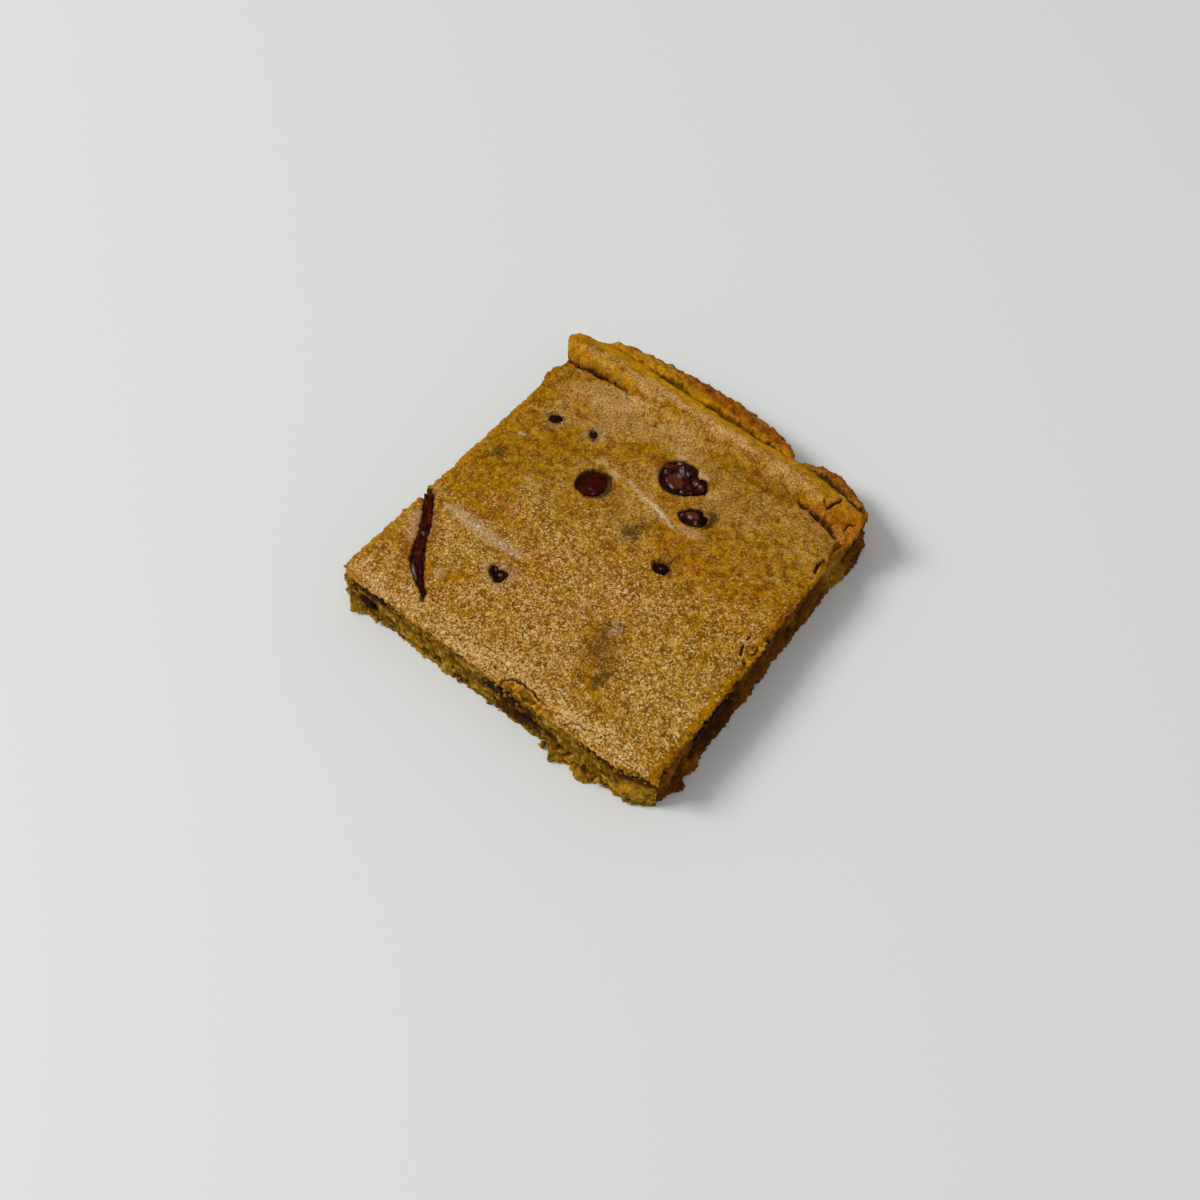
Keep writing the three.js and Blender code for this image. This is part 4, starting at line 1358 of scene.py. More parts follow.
@dataclass
class Crust:
    """The baked skin of the square, from its broken cut edges to the lip at the pan side."""

    plan: Plan
    finish: CrustFinish
    shard: Shard
    columns: int = 216
    rows: int = 236
    edge_drops: tuple[float, ...] = (0.4, 0.85, 1.15)
    edge_offsets: tuple[float, ...] = (0.06, -0.08, -0.75)
    underside: float = 7.4
    underside_inset: float = 3.2
    torn_flap: tuple[float, float, float, float] = (10.6, 6.2, 2.3, 0.6)
    torn_strip: tuple[float, float, float, float] = (-5.5, 4.5, 2.6, 0.4)
    nick: tuple[float, float, float, float] = (-45.7, -16.4, 2.1, 1.5)
    nick_deep: float = 3.2
    hole: tuple[float, float, float] = (45.2, 0.2, 1.0)
    hole_deep: float = 1.6
    crevice_deep: float = 1.25
    speck_deep: float = 0.18
    grain: Grain = field(default_factory=lambda: Grain(5))
    rough: Grain = field(default_factory=lambda: Grain(6))

    def _close_work(self, x: Values, y: Values) -> Values:
        """Which points lie close to a crack, a pocket or the groove, and so need a finer mesh.

        Args:
            x: Across the square.
            y: Along it.

        Returns:
            True for those points.
        """
        wider = [Trace(trace.path, trace.half_width + 0.5, soft=0.1) for trace in CRACKS + CREVICES]
        close = cover_all(wider, x, y) > 0.1
        for chip in CHIPS:
            close |= np.abs(chip.pocket.outline.outside(x, y)) < 0.8
        close |= np.abs(self.shard.cover(x, y)[0]) < 0.9
        close |= np.hypot(x - self.hole[0], y - self.hole[1]) < self.hole[2] + 0.5
        return close

    def _sheet(self) -> bmesh.types.BMesh:
        """A grid over the unit square, finer at close work, with its edge turned down and closed.

        Returns:
            The shape. A point's Z counts the steps down from the crust.
        """
        shape = bmesh.new()
        bmesh.ops.create_grid(shape, x_segments=self.columns, y_segments=self.rows, size=1.0)
        points = np.array([vert.co[:] for vert in shape.verts])
        x, y = self.plan.place((points[:, 0] + 1.0) / 2.0, (points[:, 1] + 1.0) / 2.0)
        for vert, close in zip(shape.verts, self._close_work(x, y)):
            vert.tag = bool(close)
        edges = [edge for edge in shape.edges if edge.verts[0].tag and edge.verts[1].tag]
        bmesh.ops.subdivide_edges(shape, edges=edges, cuts=1, use_grid_fill=True)
        ring = [edge for edge in shape.edges if edge.is_boundary]
        for _ in range(len(self.edge_drops) + 1):
            ring = extrude_ring(shape, ring, -1.0)
        bmesh.ops.contextual_create(shape, geom=ring)
        return shape

    def _torn(self, x: Values, y: Values) -> tuple[Values, Values]:
        """The places at the cut edges where the skin is torn down.

        Args:
            x: Across the square.
            y: Along it.

        Returns:
            How far each of the two tears covers the points: the flap, and the strip on the right.
        """
        centre, half, depth_in, _ = self.torn_flap
        from_front = y - self.plan.front_line(x)
        flap = ramp(arch(x, centre - half, centre + half, 0.5) * depth_in - from_front, -0.15, 0.25)
        centre, half, depth_in, _ = self.torn_strip
        from_right = self.plan.right + self.plan.right_shift(y) - x
        strip = ramp(arch(y, centre - half, centre + half, 0.5) * depth_in - from_right, -0.2, 0.3)
        return flap, strip

    def _relief(self, x: Values, y: Values) -> Values:
        """Height of the crust with all its relief.

        Args:
            x: Across the square.
            y: Along it.

        Returns:
            The height.
        """
        plan = self.plan
        flat = spots(x, y)
        base = plan.crust_height(x, y)
        grit = self._grit(x, y)
        lip = ramp(y, plan.crevice(x) - 0.4, plan.crevice(x) + 1.2)
        height = base + 0.13 * self.grain.smooth(flat, 7.0) + 0.07 * self.grain.smooth(flat + 40.0, 2.6)
        height += (0.035 + 0.05 * grit) * self.rough.layered(flat, 1.15, 2)
        height += lip * (0.75 * self.rough.layered(flat * [0.7, 1.0, 1.0], 2.4, 3) - 0.1)
        ridge = ramp(y, plan.valley(x) - 1.5, plan.valley(x) + 2.0) * (1.0 - lip)
        height += ridge * 0.19 * self.rough.layered(flat * [0.8, 1.0, 1.0] + 60.0, 1.5, 3)
        height += ridge * 0.13 * self.grain.smooth(flat + 66.0, (5.0, 2.4, 1.0))
        behind = ramp(y, plan.crest(x) + 0.6, plan.crest(x) + 2.6) * (1.0 - lip)
        plates = 0.5 - self.rough.cells(flat * [0.75, 1.0, 1.0] + 71.0, 2.8)
        height += (0.18 * ridge + 0.36 * behind) * plates
        height += lip * 0.5 * (0.5 - self.rough.cells(flat + 74.0, 1.25))
        crumbling = hump(y, plan.crevice(x) + 0.4, 2.4) * ramp(x, -40.0, -24.0)
        height += crumbling * (0.75 * (0.55 - self.rough.cells(flat * [0.8, 1.0, 1.0], 1.7)) - 0.1)
        height -= lip * 0.55 * ramp(self.grain.smooth(flat + 9.0, (2.2, 1.5, 1.0)), 0.25, 0.6)
        shaken = self._shaken(x, y, 0.35)
        for trace in CRACKS + PALE + BROWNED:
            if trace.deep:
                height -= trace.deep * trace.cover(*shaken)
        height -= self.crevice_deep * self._crevice(x, y)
        for chip in CHIPS:
            height -= chip.pocket.drop(x, y)
        outside, along = self.shard.cover(x, y)
        outside = outside + 0.25 * self.rough.smooth(flat, 1.4)
        groove = self.shard.groove * ramp(along, 1.02, 0.8)
        height -= groove * ramp(outside, 0.3, -0.4) - 0.12 * np.exp(-(((outside - 0.8) / 0.6) ** 2))
        flap, strip = self._torn(x, y)
        torn_grain = self._torn_grain(flat)
        height -= flap * (self.torn_flap[3] - torn_grain) + strip * (self.torn_strip[3] - 0.5 * torn_grain)
        nick_x, nick_y, nick_long, nick_wide = self.nick
        nick = np.hypot((x - nick_x) / nick_long, (y - nick_y + 0.5 * (x - nick_x)) / nick_wide)
        height -= self.nick_deep * ramp(nick, 1.15, 0.75)
        hole = np.hypot(x - self.hole[0], y - self.hole[1])
        height -= self.hole_deep * ramp(hole, self.hole[2], 0.4 * self.hole[2])
        for speck_x, speck_y, radius in SPECKS:
            away = np.hypot(x - speck_x, y - speck_y)
            height -= self.speck_deep * ramp(away, radius * 1.3, radius * 0.4)
        return height

    def _torn_grain(self, flat: Values) -> Values:
        """How high the lumps of bare crumb stand where the skin is torn off."""
        return 1.5 * (0.5 - self.rough.cells(flat, 1.9)) + 0.5 * self.rough.layered(flat, 1.0, 2)

    def _crevice(self, x: Values, y: Values) -> Values:
        """How far each point lies in the torn, lumpy crevice at the foot of the lip.

        Args:
            x: Across the square.
            y: Along it.

        Returns:
            From 0 outside it to 1.
        """
        flat = spots(x, y)
        torn_x = x + 1.2 * self.rough.layered(flat + 91.0, 2.6, 3)
        torn_y = y + 0.85 * self.rough.layered(flat + 96.0, 2.2, 3)
        cover = cover_all(CREVICES, torn_x, torn_y)
        ragged = cover + 0.4 * self.rough.layered(flat + 99.0, 1.9, 3) * ramp(cover, 0.0, 0.3)
        return ramp(ragged, 0.22, 0.75)

    def _grit(self, x: Values, y: Values) -> Values:
        """How coarse the crust's mottling is: fine near the pan edge and on the left, coarse in front.

        Args:
            x: Across the square.
            y: Along it.

        Returns:
            From 0, fine, to 1, coarse.
        """
        wander = 5.0 * self.grain.smooth(spots(x, y, 60.0), 14.0)
        from_back = ramp(y + wander - 0.2 * x, 16.0, -10.0)
        from_left = ramp(x + wander, -46.0, -30.0)
        return np.clip(0.16 + 0.84 * from_back * (0.6 + 0.4 * from_left), 0.0, 1.0)

    def _shaken(self, x: Values, y: Values, by: float) -> tuple[Values, Values]:
        """The places of the points, shaken so that lines drawn through them come out uneven."""
        flat = spots(x, y)
        return x + by * self.grain.smooth(flat + 3.0, 1.6), y + by * self.grain.smooth(flat + 8.0, 1.6)

    def _turned_under(self, x: Values, y: Values, level: Values) -> tuple[Values, Values]:
        """Which points lie on the turned-down edge, and how far each of them is on the right."""
        shift = ramp(x - self.plan.right - self.plan.right_shift(y), -0.9, -0.4)
        return level > 1, shift * ramp(y, 34.0, 30.0)

    def _paint_film(self, mesh: bpy.types.Mesh, x: Values, y: Values) -> None:
        """Keeps in the mesh the tone of the floury film, its cast and its golden places.

        Args:
            mesh: The crust's mesh.
            x: Across the square.
            y: Along it.
        """
        plan = self.plan
        flat = spots(x, y)
        far_x = x + 2.2 * self.grain.layered(flat + 30.0, 8.0, 3)
        far_y = y + 2.2 * self.grain.layered(flat + 35.0, 8.0, 3)
        tone = 0.285 - 0.0007 * y + 0.06 * self.grain.layered(flat + 20.0, 11.0, 3)
        patchy = 1.0 + 0.6 * self.grain.layered(flat * [0.6, 1.0, 1.0] + 26.0, 2.6, 3)
        for trace in FLOURY:
            tone += trace.strength * patchy * trace.cover(far_x, far_y)
        for trace in AMBER:
            tone -= trace.strength * trace.cover(far_x, far_y)
        lip = ramp(y, plan.crevice(x) + 0.1, plan.crevice(x) + 0.9)
        tone -= 0.9 * ramp(y, plan.crest(x) + 2.6, plan.crevice(x) - 0.3) * (1.0 - lip)
        broken = np.clip(1.25 - 0.5 * patchy, 0.0, 1.0)
        store(mesh, "tone", tone)
        store(mesh, "grit", self._grit(x, y))
        store(mesh, "rosy", 0.5 + sum(trace.strength * trace.cover(far_x, far_y) for trace in ROSY))
        store(mesh, "golden", 1.25 * broken * cover_all(GOLDEN, *self._shaken(x, y, 0.4)))

    def _burn_and_shade(self, x: Values, y: Values, level: Values) -> Values:
        """How browned each point is, with painted shade on the turned-down edge at the right, which stands
        in shade.

        Args:
            x: Across the square.
            y: Along it.
            level: How many steps each point lies below the crust.

        Returns:
            From 0 to 1.
        """
        plan = self.plan
        flat = spots(x, y)
        lip = ramp(y, plan.crevice(x) + 0.1, plan.crevice(x) + 0.9)
        along_lip = ramp(x, -30.0, -8.0) * 0.8 + 0.06
        outward = blend(0.35, 1.0, ramp(y, plan.crevice(x) + 0.8, plan.crevice(x) + 3.4))
        patches = np.clip(along_lip + 0.3 * self.rough.layered(flat + 50.0, 3.0, 3), 0.0, 1.0)
        edge = np.minimum(np.minimum(x - plan.left, plan.right - x), y - plan.front_line(x))
        under, on_right = self._turned_under(x, y, level)
        browned = (
            cover_all(BROWNED, *self._shaken(x, y, 0.4)),
            lip * outward * patches,
            0.12 * ramp(edge, 0.6, 0.1) * (level == 0),
            0.3 * ramp(self._from_shard(x, y), 1.0, 0.1),
            # Painted shade: the turned-down edge on the right side, which faces away from the light.
            0.95 * under * on_right,
        )
        return np.maximum.reduce(browned) * (1.0 - 0.6 * np.maximum(*self._torn(x, y)))

    def _from_shard(self, x: Values, y: Values) -> Values:
        """How far each point lies outside the uneven edge of the shard."""
        outside = self.shard.cover(x, y)[0] + 0.3 * self.rough.smooth(spots(x, y), 1.4)
        return outside + 0.2 * self.rough.smooth(spots(x, y) + 6.0, 0.6)

    def _shade_and_dark_marks(self, x: Values, y: Values, level: Values) -> Values:
        """How dark each point is painted: painted shade in the cracks, the crevice, the low grains of the
        torn places, the hole, round the chips and on the right turned-down edge, which stands in shade,
        and the dark specks and the melted edge of the shard.

        Args:
            x: Across the square.
            y: Along it.
            level: How many steps each point lies below the crust.

        Returns:
            From 0 to 1.
        """
        flat = spots(x, y)
        shaken = self._shaken(x, y, 0.4)
        worn = ramp(self.rough.smooth(flat + 88.0, 1.6), 0.0, 0.5)
        cracks = cover_all(CRACKS, *shaken) * (1.0 - 0.4 * worn)
        flap, strip = self._torn(x, y)
        under, on_right = self._turned_under(x, y, level)
        shade_and_marks = [
            0.95 * ramp(cracks, 0.08, 0.5) * ramp(cracks, 0.0, 0.6),
            0.8 * self._crevice(x, y),
            np.maximum(0.8 * flap, 0.25 * strip) * ramp(self._torn_grain(flat), -0.1, -0.5),
            0.85 * ramp(self._from_shard(x, y), 0.75, -0.1),
            0.92 * cover_all(SHADOWS_AND_DARK_RIMS, *shaken),
            ramp(np.hypot(x - self.hole[0], y - self.hole[1]), self.hole[2], 0.4),
            0.3 * under * on_right,
        ]
        for chip in CHIPS:
            in_pocket = ramp(chip.pocket.outline.outside(x, y), 0.25, -0.25)
            shade_and_marks.append(ramp(chip.outline.outside(x, y), 0.3, -0.2) * in_pocket)
        for speck_x, speck_y, radius in SPECKS:
            away = np.hypot(x - speck_x, y - speck_y)
            shade_and_marks.append(0.75 * ramp(away, radius * 1.25, radius * 0.5))
        return np.maximum.reduce(shade_and_marks)

    def _paint(self, mesh: bpy.types.Mesh, x: Values, y: Values, level: Values) -> None:
        """Keeps in the mesh how each point of the crust looks.

        Args:
            mesh: The crust's mesh.
            x: Across the square.
            y: Along it.
            level: How many steps each point lies below the crust.
        """
        shaken = self._shaken(x, y, 0.4)
        shade = cover_all(SHADED, *shaken)
        dusty = np.zeros(len(x))
        for chip in CHIPS:
            outside = chip.pocket.outline.outside(x, y)
            shade = np.maximum(shade, 0.7 * ramp(outside, 0.8 + 0.9 * chip.dusted, -0.2))
            dusty = np.maximum(dusty, chip.dusted * 0.34 * np.exp(-((outside - 1.1) ** 2)))
        dusty *= ramp(self.rough.smooth(spots(x, y) + 93.0, 1.1), -0.3, 0.4)
        under, on_right = self._turned_under(x, y, level)
        bare = np.maximum(np.maximum(*self._torn(x, y)), 0.7 * under * (1.0 - on_right))
        self._paint_film(mesh, x, y)
        # Browning, with painted shade on the turned-down right edge.
        store(mesh, "burn", self._burn_and_shade(x, y, level))
        store(mesh, "shade", shade)
        store(mesh, "pale", np.maximum(cover_all(PALE, *shaken), dusty))
        # Painted shade in cracks, crevice and pockets, with the dark specks and the shard's melted edge.
        store(mesh, "gap", self._shade_and_dark_marks(x, y, level))
        store(mesh, "crumbly", bare)

    def build(self) -> Piece:
        """Makes the piece.

        Returns:
            The piece.
        """
        plan = self.plan
        mesh = to_mesh(self._sheet(), "baked_crust_skin")
        points = mesh_points(mesh)
        u, v = (points[:, 0] + 1.0) / 2.0, (points[:, 1] + 1.0) / 2.0
        level = np.round(-points[:, 2]).astype(int)
        x, y = plan.place(u, v)
        out_x = (u > 0.9999).astype(float) - (u < 0.0001)
        out_y = (v > 0.9999).astype(float) - (v < 0.0001)
        near_x = ramp(np.abs(u - 0.5), 0.485, 0.5) * np.sign(u - 0.5)
        near_y = ramp(np.abs(v - 0.5), 0.485, 0.5) * np.sign(v - 0.5)
        jag = self.rough.layered(spots(x, y, 70.0), 1.9, 3)
        jag += 0.8 * self.rough.layered(spots(x, y, 75.0), 0.8, 2)
        jag = 0.4 * jag - 0.3 * ramp(jag, 0.35, 0.8)
        tip = np.exp(-((np.hypot(x - 44.4, y - 45.8) / 1.3) ** 2))
        x, y = x + 0.75 * tip, y + 0.3 * tip
        x = x + jag * near_x
        y = y + jag * near_y * np.where(v > 0.5, 1.6, 1.0)
        z = self._relief(x, y)
        ragged = self.rough.layered(spots(x, y, 90.0), 1.5, 2)
        offsets = np.array((0.0, *self.edge_offsets, -self.underside_inset))[level]
        drops = np.array((0.0, *self.edge_drops, 0.0))[level]
        z = z - drops * (1.0 + 0.4 * ragged)
        offsets = offsets + 0.12 * self.rough.smooth(spots(x, y, z * 2.0), 0.9) * (level > 0)
        last = level == len(self.edge_drops) + 1
        z = np.where(last, self.underside, z)
        self._paint(mesh, x, y, level)
        settle(mesh, np.stack([x + out_x * offsets, y + out_y * offsets, z], axis=1), plan)
        return finished_piece(mesh, [self.finish.build()], ["cake"])


# ---------------- the crumb


@dataclass(frozen=True)
class BaseCrumb:
    """A lump that the knife pushed out at the base of a cut side."""

    side: Side
    at: float
    half: float
    out: float
    tall: float = 0.55


@dataclass(frozen=True)
class SideTone:
    """A lighter or darker stretch of a cut side: its side, middle, half sizes and how much."""

    side: Side
    at: float
    height: float
    half: float
    half_tall: float
    gain: float


@dataclass(frozen=True)
class CutChip:
    """A chip that the knife cut through, seen in a cut side."""

    node: str
    side: Side
    at: float
    height: float
    length: float
    tall: float
    deep: float
    seed: int
    turn: float = 0.0
    out: float = 0.0
    stain: float = 1.0


def on_side(kind: type, side: Side, *rows: Sequence[object]) -> tuple:
    """Makes one feature of a kind from each row, all on one side."""
    return tuple(kind(side, *row) for row in rows)


BASE_CRUMBS = on_side(
    BaseCrumb,
    Side.FRONT,
    (-40.6, 4, 1.9, 0.24), (-12, 4.5, 0.7), (22, 3.4, 2.9), (29, 5.5, 2.2), (40.8, 4.8, 1.9),
) + on_side(
    BaseCrumb,
    Side.RIGHT,
    (-44, 4, -1.9), (-36.4, 3.6, 2), (-31, 4, 1.3), (31, 5.5, 0.8),
)

SIDE_TONES = on_side(
    SideTone,
    Side.FRONT,
    (-19, 4.4, 9, 2.5, 0.12), (-19, 1, 9, 2, -0.12), (-4, 7, 7, 6, -0.08), (8.5, 10.8, 7.5, 2.4, 0.35),
    (8, 2.6, 7.5, 4, -0.42), (19, 4.2, 5, 2.4, -0.2), (20, 1, 5, 1.8, 0.34), (30, 8, 8, 7, -0.12),
    (41.5, 4.6, 4.6, 3.6, 0.55), (-19, 11, 10, 1.8, 0.16), (-40.5, 1.4, 4, 2.4, 0.5),
    (8, 10.6, 5, 1.6, 0.3), (31, 10.6, 6, 1.6, 0.15),
) + on_side(
    SideTone,
    Side.RIGHT,
    (-36, 8, 8, 6.5, 0.22), (-19, 2, 11, 5, -0.45), (-3, 6, 8, 6, 0.06), (31, 8, 9, 10, 0.6),
)

CUT_CHIPS = (
    CutChip("cut_chip_left", Side.FRONT, -36.4, 9.3, 9.4, 2.6, 3.4, 31, -4.0),
    CutChip("cut_chip_left_low", Side.FRONT, -37.0, 4.6, 4.4, 2.0, 2.8, 32, 12.0, 0.8, 0.3),
    CutChip("cut_chip_middle", Side.FRONT, 4.6, 6.9, 10.2, 2.8, 3.6, 33, -3.0),
    CutChip("cut_chip_base", Side.FRONT, 12.6, 2.9, 6.4, 3.4, 3.6, 34, 6.0, 0.4),
    CutChip("cut_chip_side", Side.RIGHT, -21.5, 5.6, 13.0, 5.4, 4.0, 35, 3.0),
)


@dataclass
class Crumb:
    """The cut sides and the pan side of the square, from under the crust down to the base."""

    plan: Plan
    crumb: CrumbFinish
    pan_side: PanSideFinish
    around: int = 1720
    levels: int = 46
    overhang: float = 0.85
    spread_front: float = 0.5
    spread_right: float = 1.1
    spread_left: float = 0.4
    top_gap: float = 0.55
    draw_in: float = 2.6
    draw_down: float = 1.6
    cap_height: float = 6.4
    foot_height: float = 0.15
    coarse: Grain = field(default_factory=lambda: Grain(7))
    fine: Grain = field(default_factory=lambda: Grain(8))

    def _tube(self) -> bmesh.types.BMesh:
        """A closed drum: a circle, extruded level by level, then drawn in and capped.

        Returns:
            The shape. A point's Z is its level.
        """
        shape = bmesh.new()
        circle = bmesh.ops.create_circle(shape, segments=self.around, radius=1.0)["verts"]
        ring = list({edge for vert in circle for edge in vert.link_edges})
        bmesh.ops.contextual_create(shape, geom=ring)
        for _ in range(self.levels + 2):
            ring = extrude_ring(shape, ring, 1.0)
        bmesh.ops.contextual_create(shape, geom=ring)
        return shape

    @staticmethod
    def _edge_place(turn: Values) -> tuple[Values, Values, Values]:
        """Walks round the unit square.

        Args:
            turn: From 0 to 1, once round, starting at the front left corner.

        Returns:
            u and v on the unit square's edge, and the side: 0 front, 1 right, 2 back, 3 left.
        """
        side = np.minimum((turn * 4.0).astype(int), 3)
        t = turn * 4.0 - side
        u = np.choose(side, [t, np.ones_like(t), 1.0 - t, np.zeros_like(t)])
        v = np.choose(side, [np.zeros_like(t), t, np.ones_like(t), 1.0 - t])
        return u, v, side

    def _grain(self, x: Values, y: Values, z: Values) -> Values:
        """How far the torn crumb stands out, from its pits to its loose grains.

        Args:
            x: Across the square.
            y: Along it.
            z: Up.

        Returns:
            The distance.
        """
        at = spots(x, y, z)
        relief = 0.34 * self.coarse.smooth(at, (6.0, 6.0, 3.0))
        relief += 0.22 * self.fine.smooth(at, (2.2, 2.2, 1.4))
        relief += 0.18 * self.coarse.smooth(at + 31.0, (6.0, 6.0, 0.9))
        relief += 0.36 * (0.58 - self.coarse.cells(at, (1.9, 1.9, 1.5)))
        relief += 0.42 * (0.58 - self.fine.cells(at + 5.0, (0.95, 0.95, 0.8)))
        relief += 0.16 * self.fine.layered(at + 11.0, 0.7, 2)
        pits = ramp(self.fine.smooth(at + 57.0, (2.0, 2.0, 1.3)), 0.30, 0.60)
        return relief - 0.6 * pits

    def build(self) -> Piece:
        """Makes the piece.

        Returns:
            The piece.
        """
        plan = self.plan
        mesh = to_mesh(self._tube(), "cut_crumb_sides")
        points = mesh_points(mesh)
        turn = (np.arctan2(points[:, 1], points[:, 0]) / math.tau + 1.0 / 8.0 + 0.5) % 1.0
        u, v, side = self._edge_place(turn)
        x, y = plan.place(u, v)
        step = np.round(points[:, 2])
        level = np.clip(step / self.levels, 0.0, 1.0)
        inner = np.clip(step - self.levels, 0.0, 2.0)
        corner = ramp(np.abs(u - 0.5), 0.5 - 0.014, 0.5) * ramp(np.abs(v - 0.5), 0.5 - 0.014, 0.5)
        rounding = ramp(u - 0.5, 0.468, 0.5) * ramp(np.abs(v - 0.5), 0.468, 0.5) * (v < 0.5)
        out_x = np.select([side == 1, side == 3], [1.0, -1.0], np.sign(u - 0.5) * corner)
        out_y = np.select([side == 2, side == 0], [1.0, -1.0], np.sign(v - 0.5) * corner)
        scale = np.hypot(out_x, out_y)
        out_x, out_y = out_x / scale, out_y / scale
        top = plan.crust_height(x, y)
        z = level * (top - self.top_gap)
        on_front, on_right, on_left = (part.share(side) for part in (Side.FRONT, Side.RIGHT, Side.LEFT))
        spread = self.spread_front * on_front + self.spread_right * on_right + self.spread_left * on_left
        cut_side = side != Side.BACK.value
        flush = hump(x, 41.0, 6.5) * on_front
        at = spots(x, y, z)
        left_end = ramp(x, -42.0, -45.0) * on_front + ramp(y, -41.0, -44.5) * on_left
        tuck = -self.overhang * ramp(level, 0.1, 0.8) * cut_side
        tuck = tuck * (1.0 - 1.2 * flush) * (1.0 - 1.3 * left_end)
        out = tuck + spread * (1.0 - level) ** 1.5 - 1.2 * rounding * ramp(level, 0.95, 0.5)
        out += 0.9 * left_end * ramp(level, 0.95, 0.6)
        shelf = hump(x, 39.5, 8.0) * on_front
        out += shelf * (1.1 * hump(z, 5.4, 4.2) - 0.3 * ramp(level, 0.70, 0.82))
        crumbly = 1.0 + 0.55 * self.coarse.layered(at + 47.0, 2.2, 3)
        foot_level = level + 0.12 * self.fine.layered(at + 53.0, 2.6, 2)
        for lump in BASE_CRUMBS:
            share = lump.side.share(side) * hump(lump.side.along(x, y), lump.at, lump.half)
            share *= ramp(foot_level, lump.tall, 0.12)
            out += share * lump.out * (crumbly if lump.out > 0.0 else 1.0)
        lean = -plan.undercut * plan.lip_share(x) * (1.0 - level) ** 0.8
        foot = -1.2 * ramp(level, 0.25, 0.0)
        pan_relief = 0.3 * self.coarse.smooth(at, 5.0) + 0.12 * self.fine.layered(at, 1.6, 3)
        out = np.where(cut_side, out, lean + foot + pan_relief)
        grain = self._grain(x, y, z)
        fade = ramp(level, 0.0, 0.04) * 0.3 + 0.7
        loose = np.clip(0.75 - self.coarse.cells(at + 77.0, (1.2, 1.2, 1.0)), 0.0, 1.0)
        crumbs = 0.8 * loose - 0.1 + 0.24 * self.fine.layered(at + 83.0, 0.8, 2)
        grain = grain + ramp(z, 2.8, 0.4) * crumbs
        out += np.where(cut_side, grain * fade, 0.0)
        out -= 0.5 * ramp(level, 0.97, 1.0) + inner * self.draw_in
        z = z - inner * self.draw_down
        z = np.where(step == self.levels + 2, self.cap_height, z)
        z = np.where(step == 0, self.foot_height, z)
        x2 = x + out_x * out
        y2 = y + out_y * out
        # Painted light and shade: pits darker and grains lighter, with painted shade under the crust, on
        # the right side, which stands in shade, and just under the crust over the front right shelf.
        lit_relief = 0.5 + 0.8 * grain - 0.3 * ramp(level, 0.72, 0.95) - 0.2 * on_right
        lit_relief += 0.2 * self.coarse.layered(at + 61.0, 5.0, 2) - 0.35 * shelf * ramp(level, 0.74, 0.84)
        for part in SIDE_TONES:
            share = hump(part.side.along(x, y), part.at, part.half) * hump(z, part.height, part.half_tall)
            lit_relief += part.gain * share * part.side.share(side)
        smeared, stained = np.zeros(len(x)), np.zeros(len(x))
        ragged = 0.7 * self.coarse.layered(at + 23.0, 2.0, 3)
        ragged += 0.5 * self.fine.layered(at + 27.0, 0.9, 2)
        for chip in CUT_CHIPS:
            share = chip.side.share(side)
            across = (chip.side.along(x, y) - chip.at) / (chip.length / 2 + 0.6)
            reach = np.hypot(across, (z - chip.height) / (chip.tall / 2 + 0.5))
            smeared = np.maximum(smeared, ramp(reach, 1.25, 0.85) * share)
            reach += ragged
            stained = np.maximum(stained, chip.stain * ramp(reach, 1.35, 0.85) * share)
        stained *= 0.4 + 0.6 * ramp(grain, 0.45, -0.15)
        lit_relief -= 0.4 * smeared
        x2 -= out_x * 0.45 * smeared
        y2 -= out_y * 0.45 * smeared
        golden = 0.8 * hump(x, 27.0, 6.5) * ramp(z, 3.4, 1.0)
        golden += 0.8 * hump(x, -40.6, 4.4) * ramp(z, 3.0, 1.6)
        golden += 0.85 * hump(x, 41.0, 4.5) * hump(z, 5.0, 4.0) + 0.25 * ramp(z, 1.5, 0.2)
        golden += 0.8 * hump(x, 9.0, 7.0) * hump(z, 11.2, 2.4)
        # Painted shade on the right side, which stands in shade: a darker ruddy colour, less so on a
        # lighter stretch near its back.
        bright = hump(y, 29.0, 8.0) * on_right
        ruddy = 0.75 * (on_right - 0.7 * bright)
        # Painted shade: a darker, ruddy band in the upper part of the front side at the right, under the
        # crust.
        ledge_shade = on_front * ramp(x, 24.0, 32.0) * ramp(level, 0.64, 0.74)
        ruddy = np.maximum(ruddy, 0.8 * ledge_shade)
        lit_relief -= 0.4 * ledge_shade + 0.3 * ledge_shade * shelf
        store(mesh, "lit_relief", lit_relief)
        store(mesh, "ruddy", ruddy)
        store(mesh, "smeared", 0.85 * stained)
        golden = golden * on_front + 0.3 * (1.0 - on_front) * ramp(z, 2.0, 0.0) + 0.5 * bright
        store(mesh, "golden", golden)
        settle(mesh, np.stack([x2, y2, z], axis=1), plan)
        back = side == Side.BACK.value
        panned = [back[face.vertices[0]] and back[face.vertices[2]] for face in mesh.polygons]
        mesh.polygons.foreach_set("material_index", np.array(panned, np.int32))
        return finished_piece(mesh, [self.crumb.build(), self.pan_side.build()], ["cake"])


